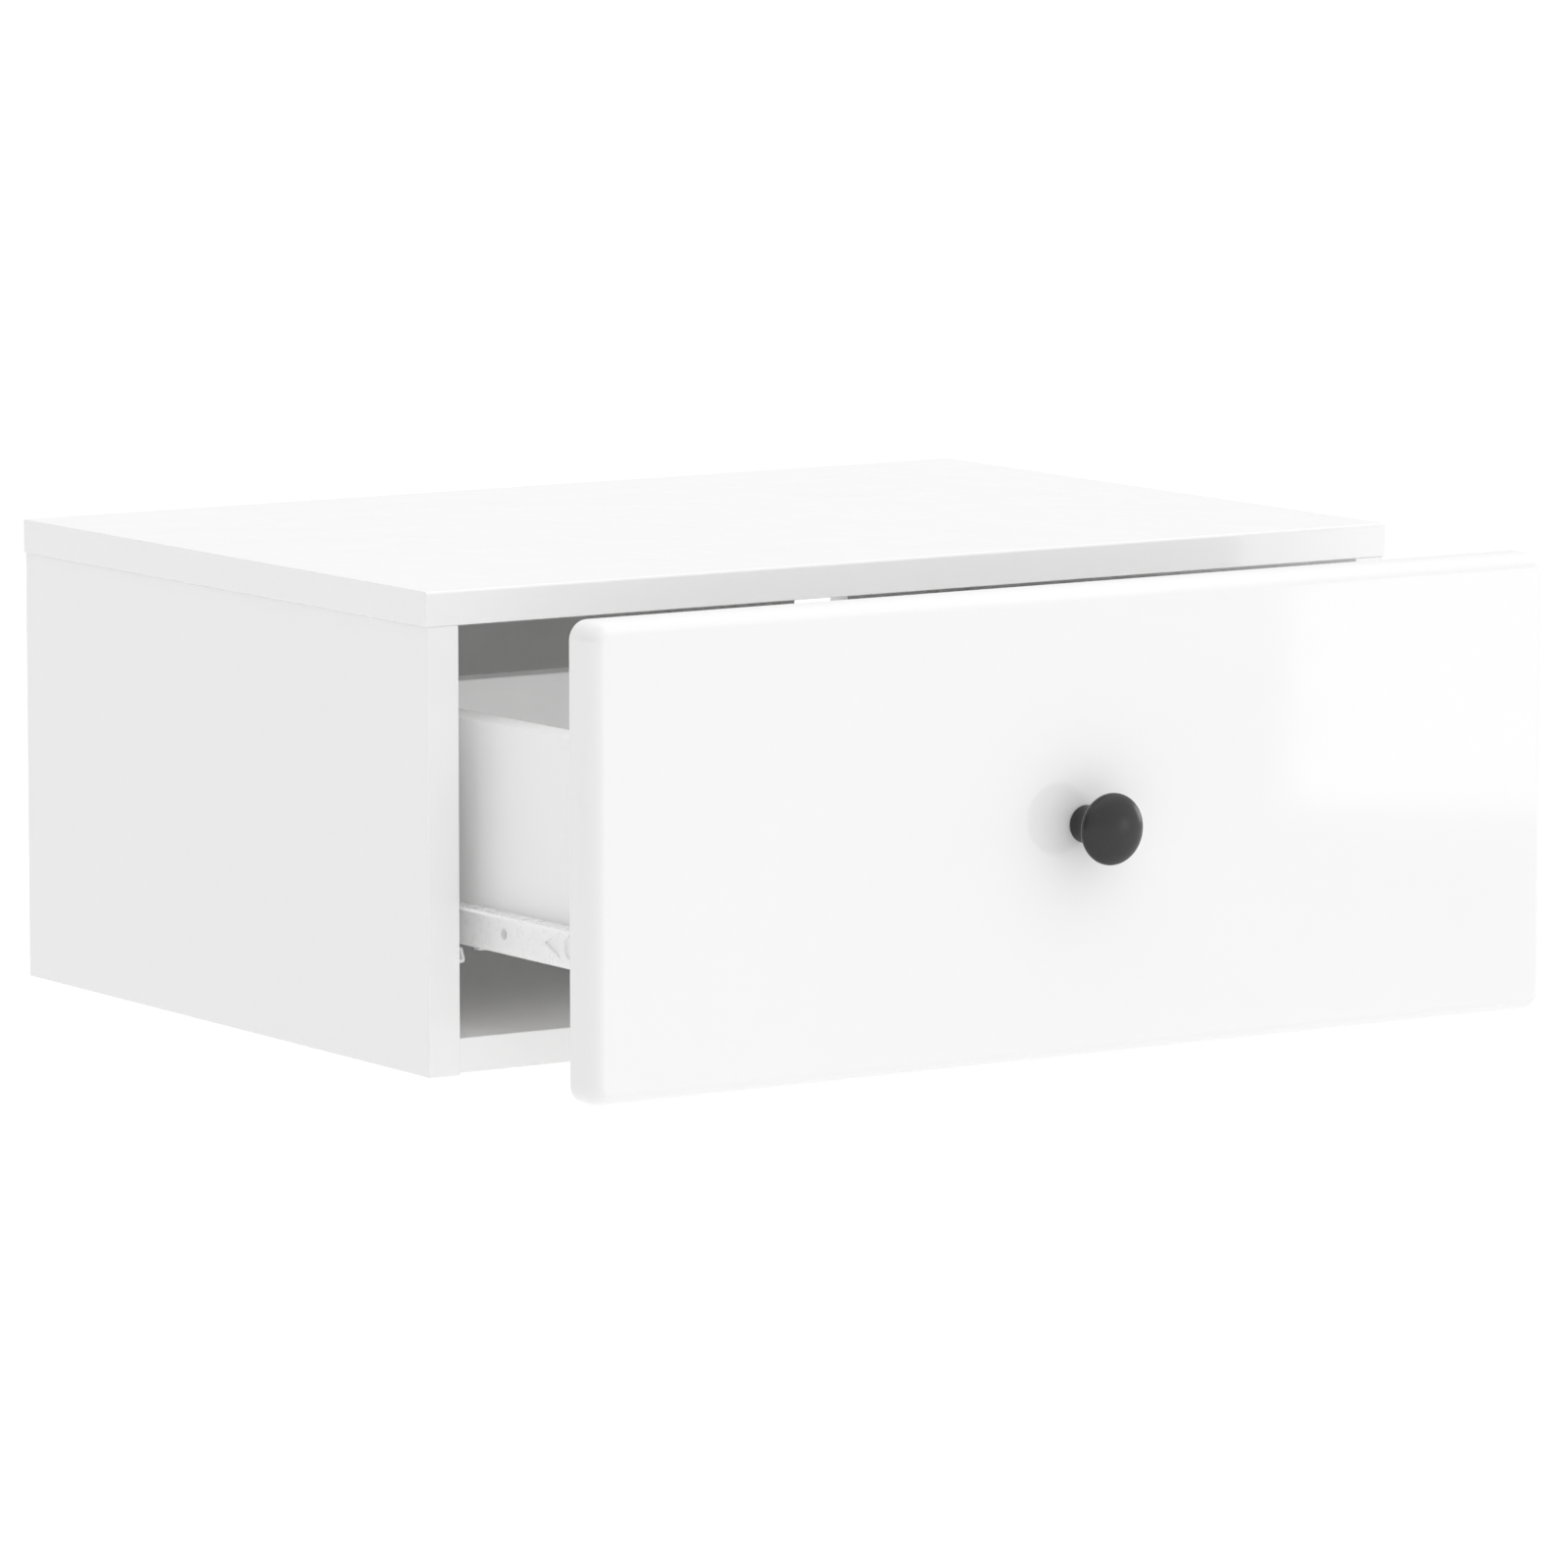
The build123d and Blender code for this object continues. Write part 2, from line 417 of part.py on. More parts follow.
with BuildPart() as drawer_front:
    with Locations((0, BACK_OF_FRONT_Y, FRONT_MID_Z)):
        add(front_blank.part)
    fillet(drawer_front.faces().sort_by(Axis.Y)[-1].edges(), 0.6)
    # seats of the cam bolts and dowels in the rear face
    with Locations(*[b for b, c in DRAWER_JOINTS], *[mirrored(b) for b, c in DRAWER_JOINTS]):
        Cylinder(BOLT_R + FIT, 2 * (10.5 + 0.5), mode=Mode.SUBTRACT)
    with Locations(*DRAWER_DOWELS, *[mirrored(p) for p in DRAWER_DOWELS]):
        Cylinder(DOWEL_R + FIT, 2 * (DOWEL_FACE + 0.2), mode=Mode.SUBTRACT)
    # groove for the drawer bottom, stopped at the drawer sides
    with BuildSketch(Plane(origin=(0, BACK_OF_FRONT_Y, DRAWER_SHEET_Z + SHEET / 2), x_dir=RIGHTWARD, z_dir=FRONTWARD)):
        Rectangle(2 * (BOX_IN + SHEET_GROOVE), SHEET + 0.2)
    extrude(amount=SHEET_GROOVE, mode=Mode.SUBTRACT)
    # clearance hole of the knob screw
    with Locations(facing(0, FACE_Y, FRONT_MID_Z, FRONTWARD)):
        Hole(2.25, depth=FRONT_THICK)

with BuildPart() as drawer_left_side:
    with BuildSketch(Plane.YZ.offset(-BOX_OUT)):
        with Locations(((BACK_OF_FRONT_Y + BOX_REAR_Y) / 2, (BOX_BOTTOM_Z + BOX_TOP_Z) / 2)):
            Rectangle(BOX_LENGTH, BOX_TOP_Z - BOX_BOTTOM_Z)
    extrude(amount=BOARD)
    fillet(drawer_left_side.edges().filter_by(Axis.Y).group_by(Axis.Z)[-1], EDGE)
    with Locations(*[b for b, c in DRAWER_JOINTS]):
        Cylinder(4.0, 2 * 18.0, mode=Mode.SUBTRACT)
    with Locations(*DRAWER_DOWELS):
        Cylinder(DOWEL_R + FIT, 2 * (DOWEL_EDGE + 0.2), mode=Mode.SUBTRACT)
    with Locations(*[c for b, c in DRAWER_JOINTS]):
        Cylinder(CAM_R + 0.05, 2 * (CAM_DEPTH + 0.1), mode=Mode.SUBTRACT)
    # groove for the drawer bottom
    with BuildSketch(Plane.YZ.offset(-BOX_IN)):
        with Locations(((BACK_OF_FRONT_Y + BOX_REAR_Y) / 2, DRAWER_SHEET_Z + SHEET / 2)):
            Rectangle(BOX_LENGTH, SHEET + 0.2)
    extrude(amount=-SHEET_GROOVE, mode=Mode.SUBTRACT)
    # countersunk holes of the screws into the drawer back
    with Locations(*[facing(-BOX_OUT, DRAWER_BACK_MID_Y, z, LEFTWARD) for z in DRAWER_BACK_SCREW_ZS]):
        CounterSinkHole(2.5 + FIT, 3.6 + FIT, depth=BOARD + 1.0, counter_sink_angle=60)
    # pilot holes of the runner screws, in the lower edge
    with Locations(*[facing(-DRAWER_SCREW_X, y, BOX_BOTTOM_Z, DOWN) for y in DRAWER_SCREW_YS]):
        Hole(1.75 + FIT, depth=11.0)
    # blind spare holes behind those of the runner's web
    with Locations(*[facing(-BOX_OUT, y, SPARE_HOLE_Z, LEFTWARD) for y in SPARE_HOLE_YS]):
        Hole(SPARE_HOLE_R, depth=SPARE_HOLE_DEPTH)

with BuildPart() as drawer_right_side:
    mirror(drawer_left_side.part, about=Plane.YZ)

with BuildPart() as drawer_back:
    with BuildSketch(Plane.XY.offset(DRAWER_SHEET_Z + SHEET)):
        with Locations((0, DRAWER_BACK_MID_Y)):
            Rectangle(2 * BOX_IN, BOARD)
    extrude(amount=BOX_TOP_Z - DRAWER_SHEET_Z - SHEET)
    fillet(drawer_back.edges().filter_by(Axis.X).group_by(Axis.Z)[-1], EDGE)
    with Locations(
        *[facing(-BOX_IN, DRAWER_BACK_MID_Y, z, LEFTWARD) for z in DRAWER_BACK_SCREW_ZS],
        *[facing(BOX_IN, DRAWER_BACK_MID_Y, z, RIGHTWARD) for z in DRAWER_BACK_SCREW_ZS],
    ):
        Hole(2.5 + FIT, depth=28.0)
    with Locations(*[facing(x, DRAWER_BACK_MID_Y, DRAWER_SHEET_Z + SHEET, DOWN) for x in DRAWER_BOTTOM_SCREW_XS]):
        Hole(1.25 + FIT, depth=10.0)

with BuildPart() as drawer_bottom:
    with BuildSketch(Plane.XY.offset(DRAWER_SHEET_Z)):
        with Locations((0, (BACK_OF_FRONT_Y - SHEET_GROOVE + 0.4 + BOX_REAR_Y) / 2)):
            Rectangle(2 * (BOX_IN + SHEET_GROOVE - 0.4), BOX_REAR_Y - BACK_OF_FRONT_Y + SHEET_GROOVE - 0.4)
        with Locations(*[(x, DRAWER_BACK_MID_Y) for x in DRAWER_BOTTOM_SCREW_XS]):
            Circle(1.35, mode=Mode.SUBTRACT)
    extrude(amount=SHEET)

# ================================================================ drawer fixings
with BuildPart() as drawer_dowels:
    with Locations(*DRAWER_DOWELS):
        with Locations((0, 0, (DOWEL_EDGE - DOWEL_FACE) / 2)):
            Cylinder(DOWEL_R, DOWEL_FACE + DOWEL_EDGE)
    chamfer(drawer_dowels.edges().filter_by(GeomType.CIRCLE), 0.8)
    mirror(about=Plane.YZ)

with BuildPart() as drawer_cam_bolts:
    with Locations(*[b for b, c in DRAWER_JOINTS]):
        with Locations((0, 0, -10.5)):
            Cylinder(BOLT_R, 31.0, align=(Align.CENTER, Align.CENTER, Align.MIN))
        with Locations((0, 0, 0.05)):
            Cylinder(3.4, 2.0, align=(Align.CENTER, Align.CENTER, Align.MIN))
        with Locations((0, 0, 20.5)):
            Cylinder(3.4, 3.0, align=(Align.CENTER, Align.CENTER, Align.MIN))
    mirror(about=Plane.YZ)

with BuildPart() as drawer_cam_locks:
    with Locations(*[c for b, c in DRAWER_JOINTS]):
        Cylinder(CAM_R, CAM_DEPTH, align=(Align.CENTER, Align.CENTER, Align.MAX))
        with Locations((3.5, 0, -MID_BOARD)):
            Box(15.0, 7.6, 7.6, mode=Mode.SUBTRACT)
        with Locations((0, 0, 0)):
            Box(9.0, 1.4, 3.0, mode=Mode.SUBTRACT)
            Box(1.4, 9.0, 3.0, mode=Mode.SUBTRACT)
    mirror(about=Plane.YZ)

with BuildPart() as drawer_cam_caps:
    with Locations(*[c for b, c in DRAWER_JOINTS]):
        Cylinder(CAM_CAP_R, CAM_CAP, align=(Align.CENTER, Align.CENTER, Align.MIN))
    mirror(about=Plane.YZ)

with BuildPart() as drawer_back_screws:
    with Locations(*[facing(-BOX_OUT, DRAWER_BACK_MID_Y, z, LEFTWARD) for z in DRAWER_BACK_SCREW_ZS]):
        Cone(2.5, 3.6, 1.9, align=(Align.CENTER, Align.CENTER, Align.MAX))
        with Locations((0, 0, -1.8)):
            Cylinder(2.5, 40.0, align=(Align.CENTER, Align.CENTER, Align.MAX))
        with Locations((0, 0, -1.0)):
            Cylinder(1.6, 2.2, mode=Mode.SUBTRACT)
    mirror(about=Plane.YZ)

with BuildPart() as drawer_bottom_screws:
    with Locations(*[facing(x, DRAWER_BACK_MID_Y, DRAWER_SHEET_Z, DOWN) for x in DRAWER_BOTTOM_SCREW_XS]):
        Cylinder(2.8, 1.3, align=(Align.CENTER, Align.CENTER, Align.MIN))
        with Locations((0, 0, 0.1)):
            Cylinder(1.25, 12.0, align=(Align.CENTER, Align.CENTER, Align.MAX))
        with Locations((0, 0, 1.3)):
            Box(2.6, 0.7, 1.2, mode=Mode.SUBTRACT)
            Box(0.7, 2.6, 1.2, mode=Mode.SUBTRACT)

# ================================================================ drawer runners
# Z-shaped rail: web on the drawer side, shelf under the side, flange over the front roller.
with BuildPart() as left_drawer_runner:
    with BuildSketch(Plane.XZ.offset(-BOX_REAR_Y)):
        with BuildLine():
            Polyline(
                (-DRAWER_SHELF_X, DRAWER_WEB_BOTTOM_Z),
                (-DRAWER_WEB_X, DRAWER_WEB_BOTTOM_Z),
                (-DRAWER_WEB_X, DRAWER_WEB_TOP_Z - STEEL),
                (-DRAWER_FLANGE_X, DRAWER_WEB_TOP_Z - STEEL),
                (-DRAWER_FLANGE_X, DRAWER_WEB_TOP_Z),
                (-BOX_OUT, DRAWER_WEB_TOP_Z),
                (-BOX_OUT, BOX_BOTTOM_Z),
                (-DRAWER_SHELF_X, BOX_BOTTOM_Z),
                close=True,
            )
        make_face()
    extrude(amount=BOX_LENGTH)
    fillet(left_drawer_runner.edges().filter_by(Axis.Y).filter_by_position(Axis.X, -BOX_OUT - 0.01, -BOX_OUT + 0.01).sort_by(Axis.Z)[-1], 1.0)
    fillet(left_drawer_runner.edges().filter_by(Axis.Y).filter_by_position(Axis.X, -DRAWER_WEB_X - 0.01, -DRAWER_WEB_X + 0.01).sort_by(Axis.Z)[0], 1.0)
    # windows of the front end: a round one, and a three-cornered one each side of its rim
    with BuildSketch(Plane.YZ.offset(-DRAWER_WEB_X - 1.0)):
        with Locations((RING_Y, WEB_MID_Z)):
            Circle(RING_R)
        with BuildLine():
            apex = (RING_Y + 21.2, WEB_MID_Z)
            upper = (RING_Y + 8.1, WEB_MID_Z + 5.7)
            lower = (RING_Y + 8.1, WEB_MID_Z - 5.7)
            Line(upper, apex)
            Line(apex, lower)
            ThreePointArc(lower, (RING_Y + RING_OUTER_R, WEB_MID_Z), upper)
        make_face()
        with BuildLine():
            apex2 = (RING_Y - 21.2, WEB_MID_Z)
            upper2 = (RING_Y - 8.1, WEB_MID_Z + 5.7)
            lower2 = (RING_Y - 8.1, WEB_MID_Z - 5.7)
            Line(upper2, apex2)
            Line(apex2, lower2)
            ThreePointArc(lower2, (RING_Y - RING_OUTER_R, WEB_MID_Z), upper2)
        make_face()
    extrude(amount=STEEL + 1.0, mode=Mode.SUBTRACT)
    # spare fixing holes
    with Locations(*[facing(-DRAWER_WEB_X, y, SPARE_HOLE_Z, LEFTWARD) for y in SPARE_HOLE_YS]):
        Hole(SPARE_HOLE_R, depth=2.0)
    with Locations(facing(-DRAWER_WEB_X, REAR_ROLLER_Y, REAR_ROLLER_Z, LEFTWARD)):
        Hole(PIN_R + FIT, depth=2.0)
    with Locations(*[facing(-DRAWER_SCREW_X, y, DRAWER_WEB_BOTTOM_Z, DOWN) for y in DRAWER_SCREW_YS]):
        Hole(1.9, depth=2.0)

with BuildPart() as right_drawer_runner:
    mirror(left_drawer_runner.part, about=Plane.YZ)

with BuildPart() as drawer_runner_screws:
    with Locations(*[facing(-DRAWER_SCREW_X, y, DRAWER_WEB_BOTTOM_Z, DOWN) for y in DRAWER_SCREW_YS]):
        Cylinder(3.3, 1.8, align=(Align.CENTER, Align.CENTER, Align.MIN))
        with Locations((0, 0, 0.1)):
            Cylinder(1.75, 11.8, align=(Align.CENTER, Align.CENTER, Align.MAX))
        with Locations((0, 0, 1.8)):
            Box(3.2, 0.8, 1.8, mode=Mode.SUBTRACT)
            Box(0.8, 3.2, 1.8, mode=Mode.SUBTRACT)
    mirror(about=Plane.YZ)

# Rivets that carry the rear rollers.
with BuildPart() as rear_roller_pins:
    with Locations(facing(-BOX_OUT, REAR_ROLLER_Y, REAR_ROLLER_Z, LEFTWARD)):
        Cylinder(PIN_R, ROLLER_OUT + 0.2 - BOX_OUT + 0.6, align=(Align.CENTER, Align.CENTER, Align.MIN))
        with Locations((0, 0, STEEL)):
            Cylinder(3.2, ROLLER_IN - 0.2 - DRAWER_WEB_X, align=(Align.CENTER, Align.CENTER, Align.MIN))
        with Locations((0, 0, ROLLER_OUT + 0.2 - BOX_OUT)):
            Cylinder(3.4, 0.6, align=(Align.CENTER, Align.CENTER, Align.MIN))
    mirror(about=Plane.YZ)

with BuildPart() as left_rear_roller:
    with BuildSketch(Plane(origin=(-ROLLER_OUT, REAR_ROLLER_Y, REAR_ROLLER_Z), x_dir=BACKWARD, z_dir=RIGHTWARD)):
        Circle(ROLLER_R)
        Circle(ROLLER_BORE_R, mode=Mode.SUBTRACT)
    extrude(amount=ROLLER_WIDTH)
    fillet(left_rear_roller.edges().filter_by(GeomType.CIRCLE).sort_by(SortBy.RADIUS)[-2:], 0.9)
    with BuildSketch(Plane(origin=(-ROLLER_OUT, REAR_ROLLER_Y, REAR_ROLLER_Z), x_dir=BACKWARD, z_dir=RIGHTWARD)):
        Circle(6.6)
        Circle(4.2, mode=Mode.SUBTRACT)
    extrude(amount=1.0, mode=Mode.SUBTRACT)

with BuildPart() as right_rear_roller:
    mirror(left_rear_roller.part, about=Plane.YZ)

# ================================================================ knob
# Mushroom knob: a round foot, a waisted neck and a gently domed head, turned about the
# front's normal.
with BuildPart() as knob:
    with BuildSketch(Plane(origin=(0, FACE_Y, FRONT_MID_Z), x_dir=RIGHTWARD, z_dir=UP)):
        with BuildLine():
            foot = Line((0, 0), (KNOB_FOOT_R - 0.4, 0))
            foot_edge = Line((KNOB_FOOT_R - 0.4, 0), (KNOB_FOOT_R, -0.4))
            neck = Spline(
                (KNOB_FOOT_R, -0.4),
                (KNOB_FOOT_R - 0.9, -5.0),
                (KNOB_FOOT_R - 0.8, -10.0),
                (10.6, -14.6),
                (14.2, -17.4),
                tangents=[(-0.12, -1.0), (1.0, -0.62)],
            )
            rim = Spline(
                (14.2, -17.4),
                (KNOB_HEAD_R, -KNOB_WIDEST),
                (14.3, -22.1),
                tangents=[(1.0, -0.62), (-1.0, -0.55)],
            )
            dome = Spline(
                (14.3, -22.1),
                (9.6, -24.2),
                (0, -KNOB_LENGTH),
                tangents=[(-1.0, -0.55), (-1.0, 0.0)],
            )
            axis_line = Line((0, -KNOB_LENGTH), (0, 0))
        make_face()
    revolve(axis=Axis((0, FACE_Y, FRONT_MID_Z), (0, 1, 0)))
    with Locations(facing(0, FACE_Y, FRONT_MID_Z, BACKWARD)):
        Hole(2.0 + FIT, depth=10.0)

# Machine screw from inside the drawer through the front into the knob.
with BuildPart() as knob_screw:
    with Locations(facing(0, BACK_OF_FRONT_Y, FRONT_MID_Z, BACKWARD)):
        Cylinder(4.2, 2.4, align=(Align.CENTER, Align.CENTER, Align.MIN))
        with Locations((0, 0, 0.1)):
            Cylinder(2.0, FRONT_THICK + 9.0, align=(Align.CENTER, Align.CENTER, Align.MAX))
        with Locations((0, 0, 2.4)):
            Box(4.4, 1.0, 2.4, mode=Mode.SUBTRACT)
            Box(1.0, 4.4, 2.4, mode=Mode.SUBTRACT)

# ================================================================ output
pieces = {
    "top_panel": top_panel,
    "left_side_panel": left_side_panel,
    "right_side_panel": right_side_panel,
    "bottom_panel": bottom_panel,
    "hanging_rail": hanging_rail,
    "back_panel": back_panel,
    "cabinet_dowels": cabinet_dowels,
    "cabinet_cam_bolts": cabinet_cam_bolts,
    "cabinet_cam_locks": cabinet_cam_locks,
    "cabinet_cam_caps": cabinet_cam_caps,
    "left_cabinet_runner": left_cabinet_runner,
    "right_cabinet_runner": right_cabinet_runner,
    "cabinet_runner_screws": cabinet_runner_screws,
    "front_roller_pins": front_roller_pins,
    "left_front_roller": left_front_roller,
    "right_front_roller": right_front_roller,
    "drawer_front": drawer_front,
    "drawer_left_side": drawer_left_side,
    "drawer_right_side": drawer_right_side,
    "drawer_back": drawer_back,
    "drawer_bottom": drawer_bottom,
    "drawer_dowels": drawer_dowels,
    "drawer_cam_bolts": drawer_cam_bolts,
    "drawer_cam_locks": drawer_cam_locks,
    "drawer_cam_caps": drawer_cam_caps,
    "drawer_back_screws": drawer_back_screws,
    "drawer_bottom_screws": drawer_bottom_screws,
    "left_drawer_runner": left_drawer_runner,
    "right_drawer_runner": right_drawer_runner,
    "drawer_runner_screws": drawer_runner_screws,
    "rear_roller_pins": rear_roller_pins,
    "left_rear_roller": left_rear_roller,
    "right_rear_roller": right_rear_roller,
    "knob": knob,
    "knob_screw": knob_screw,
}

os.makedirs("parts", exist_ok=True)
for name, piece in pieces.items():
    piece.part.label = name
    export_step(piece.part, "parts/" + name + ".step")
print(len(pieces), "pieces written")
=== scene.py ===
import bpy
import bmesh
import math
import numpy as np
from mathutils import Matrix, Vector


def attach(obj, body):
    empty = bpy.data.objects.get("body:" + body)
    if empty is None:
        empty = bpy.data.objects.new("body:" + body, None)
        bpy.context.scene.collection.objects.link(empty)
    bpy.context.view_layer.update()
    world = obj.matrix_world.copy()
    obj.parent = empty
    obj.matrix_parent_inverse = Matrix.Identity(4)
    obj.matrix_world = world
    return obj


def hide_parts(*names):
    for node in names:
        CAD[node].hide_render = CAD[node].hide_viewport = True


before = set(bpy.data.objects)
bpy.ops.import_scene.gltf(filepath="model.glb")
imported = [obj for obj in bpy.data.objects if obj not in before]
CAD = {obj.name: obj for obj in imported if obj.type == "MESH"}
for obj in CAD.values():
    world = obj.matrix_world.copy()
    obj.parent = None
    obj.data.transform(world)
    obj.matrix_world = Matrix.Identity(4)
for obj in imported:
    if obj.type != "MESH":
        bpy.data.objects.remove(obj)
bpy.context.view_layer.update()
MM = 0.001

# =====================================================================================
# Sizes, in millimetres, in the row frame: +X right, +Y to the wall, +Z up.
# =====================================================================================
TOP_Z, BOARD = 62.0, 15.0
SIDE_OUT, SIDE_IN = 249.0, 234.0
FRONT_Y = -346.5
BACK_OF_FRONT_Y, FACE_Y = -453.0, -471.0
BOX_OUT, BOX_IN, BOX_REAR_Y = 221.5, 206.5, -203.0
BOX_TOP_Z, BOX_BOTTOM_Z = 5.3, -90.7
FRONT_HALF_W, FRONT_HALF_H, FRONT_MID_Z = 246.5, 100.75, -40.45
STEEL = 1.2


# =====================================================================================
# Mesh helpers
# =====================================================================================
def evaluated(obj):
    """Replaces obj's mesh with its evaluated mesh and drops its modifiers."""
    dg = bpy.context.evaluated_depsgraph_get()
    mesh = bpy.data.meshes.new_from_object(obj.evaluated_get(dg))
    obj.modifiers.clear()
    obj.data = mesh
    return obj


def link(name, bm, scale=MM):
    bmesh.ops.scale(bm, vec=(scale,) * 3, verts=bm.verts)
    mesh = bpy.data.meshes.new(name)
    bm.to_mesh(mesh)
    bm.free()
    obj = bpy.data.objects.new(name, mesh)
    bpy.context.scene.collection.objects.link(obj)
    return obj


def smooth(obj, angle=None, weighted=True):
    """Smooth shading, sharp above angle, with face-weighted normals so that flats stay flat."""
    for p in obj.data.polygons:
        p.use_smooth = True
    if angle is not None:
        obj.data.set_sharp_from_angle(angle=math.radians(angle))
    if weighted:
        m = obj.modifiers.new("weighted", "WEIGHTED_NORMAL")
        m.mode = "FACE_AREA_WITH_ANGLE"
        m.keep_sharp = True
        m.weight = 60
    return obj


def dress(obj, body, materials, replaced=()):
    """Puts obj on its body, gives it its materials and hides the CAD nodes it stands for."""
    if len(obj.data.materials) == 0:
        for m in materials:
            obj.data.materials.append(m)
    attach(obj, body)
    if replaced:
        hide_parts(*replaced)
    return obj


def box_bm(x0, x1, y0, y1, z0, z1):
    bm = bmesh.new()
    v = [bm.verts.new(p) for p in (
        (x0, y0, z0), (x1, y0, z0), (x1, y1, z0), (x0, y1, z0),
        (x0, y0, z1), (x1, y0, z1), (x1, y1, z1), (x0, y1, z1))]
    for f in ((0, 3, 2, 1), (4, 5, 6, 7), (0, 1, 5, 4), (1, 2, 6, 5), (2, 3, 7, 6), (3, 0, 4, 7)):
        bm.faces.new([v[i] for i in f])
    return bm


def board(name, box, radius=0.5, special=(), raw=(), cutters=()):
    """A board with softened edges. special holds (test on an edge's middle, radius) pairs for edges
    that are rounder; raw holds (axis, value) pairs for planes left uncoated, which take material 1;
    cutters are meshes taken out of it before its edges are softened."""
    x0, x1, y0, y1, z0, z1 = box
    obj = link(name, box_bm(*box))
    for c in cutters:
        m = obj.modifiers.new("cut", "BOOLEAN")
        m.operation, m.solver, m.object = "DIFFERENCE", "EXACT", c
    if cutters:
        evaluated(obj)
        for c in cutters:
            bpy.data.objects.remove(c)
    bm = bmesh.new()
    bm.from_mesh(obj.data)
    bmesh.ops.remove_doubles(bm, verts=bm.verts, dist=1e-7)
    widest = max([radius] + [r for _, r in special])
    weight = bm.edges.layers.float.new("bevel_weight_edge")
    for e in bm.edges:
        if len(e.link_faces) != 2 or e.calc_face_angle(0) < math.radians(40):
            continue
        middle = (e.verts[0].co + e.verts[1].co) / 2 / MM
        along = (e.verts[1].co - e.verts[0].co).normalized()
        r = radius
        for test, wide in special:
            if test(middle, along):
                r = wide
        e[weight] = r / widest
    bm.to_mesh(obj.data)
    bm.free()
    bevel = obj.modifiers.new("bevel", "BEVEL")
    bevel.limit_method, bevel.width, bevel.segments = "WEIGHT", widest * MM, 4
    bevel.use_clamp_overlap = True
    evaluated(obj)
    obj.data.materials.clear()
    if raw:
        for p in obj.data.polygons:
            for axis, value in raw:
                if abs(p.normal[axis]) > 0.98 and abs(p.center[axis] / MM - value) < 0.05:
                    p.material_index = 1
    return smooth(obj)


def lathe(profile, axis_origin, axis_dir, segments=64, start=0.0):
    """A closed bmesh turned from profile, a list of (radius, height) in mm. Ends on the axis are closed
    with a fan; a profile that starts and ends off the axis at different heights is joined to itself."""
    bm = bmesh.new()
    z = Vector(axis_dir).normalized()
    x = z.orthogonal().normalized()
    y = z.cross(x)
    origin = Vector(axis_origin)
    rings = []
    for r, h in profile:
        if r < 1e-6:
            rings.append([bm.verts.new(origin + z * h)])
        else:
            ring = []
            for i in range(segments):
                a = start + 2 * math.pi * i / segments
                ring.append(bm.verts.new(origin + z * h + (x * math.cos(a) + y * math.sin(a)) * r))
            rings.append(ring)
    pairs = list(zip(rings, rings[1:]))
    if len(rings[0]) > 1 and len(rings[-1]) > 1:
        pairs.append((rings[-1], rings[0]))
    for a, b in pairs:
        for i in range(segments):
            j = (i + 1) % segments
            if len(a) == 1 and len(b) == 1:
                continue
            if len(a) == 1:
                bm.faces.new((a[0], b[j], b[i]))
            elif len(b) == 1:
                bm.faces.new((a[i], a[j], b[0]))
            else:
                bm.faces.new((a[i], a[j], b[j], b[i]))
    bmesh.ops.recalc_face_normals(bm, faces=bm.faces)
    return bm


def join(bms):
    """One bmesh out of several."""
    out = bmesh.new()
    for b in bms:
        m = bpy.data.meshes.new("part")
        b.to_mesh(m)
        b.free()
        out.from_mesh(m)
        bpy.data.meshes.remove(m)
    return out


def arc(cx, cy, r, a0, a1, n):
    """Points on an arc, angles in degrees."""
    return [(cx + r * math.cos(math.radians(a0 + (a1 - a0) * i / n)),
             cy + r * math.sin(math.radians(a0 + (a1 - a0) * i / n))) for i in range(n + 1)]


def curve_through(points, per=8):
    """A smooth line through points, by centripetal Catmull-Rom."""
    p = [Vector((*q, 0)) for q in points]
    p = [p[0] * 2 - p[1]] + p + [p[-1] * 2 - p[-2]]
    out = []
    for i in range(1, len(p) - 2):
        a, b, c, d = p[i - 1:i + 3]
        t0 = 0.0
        t1 = t0 + max((b - a).length, 1e-6) ** 0.5
        t2 = t1 + max((c - b).length, 1e-6) ** 0.5
        t3 = t2 + max((d - c).length, 1e-6) ** 0.5
        for k in range(per):
            t = t1 + (t2 - t1) * k / per
            a1 = a * ((t1 - t) / (t1 - t0)) + b * ((t - t0) / (t1 - t0))
            a2 = b * ((t2 - t) / (t2 - t1)) + c * ((t - t1) / (t2 - t1))
            a3 = c * ((t3 - t) / (t3 - t2)) + d * ((t - t2) / (t3 - t2))
            b1 = a1 * ((t2 - t) / (t2 - t0)) + a2 * ((t - t0) / (t2 - t0))
            b2 = a2 * ((t3 - t) / (t3 - t1)) + a3 * ((t - t1) / (t3 - t1))
            q = b1 * ((t2 - t) / (t2 - t1)) + b2 * ((t - t1) / (t2 - t1))
            out.append((q.x, q.y))
    out.append(tuple(points[-1]))
    return out


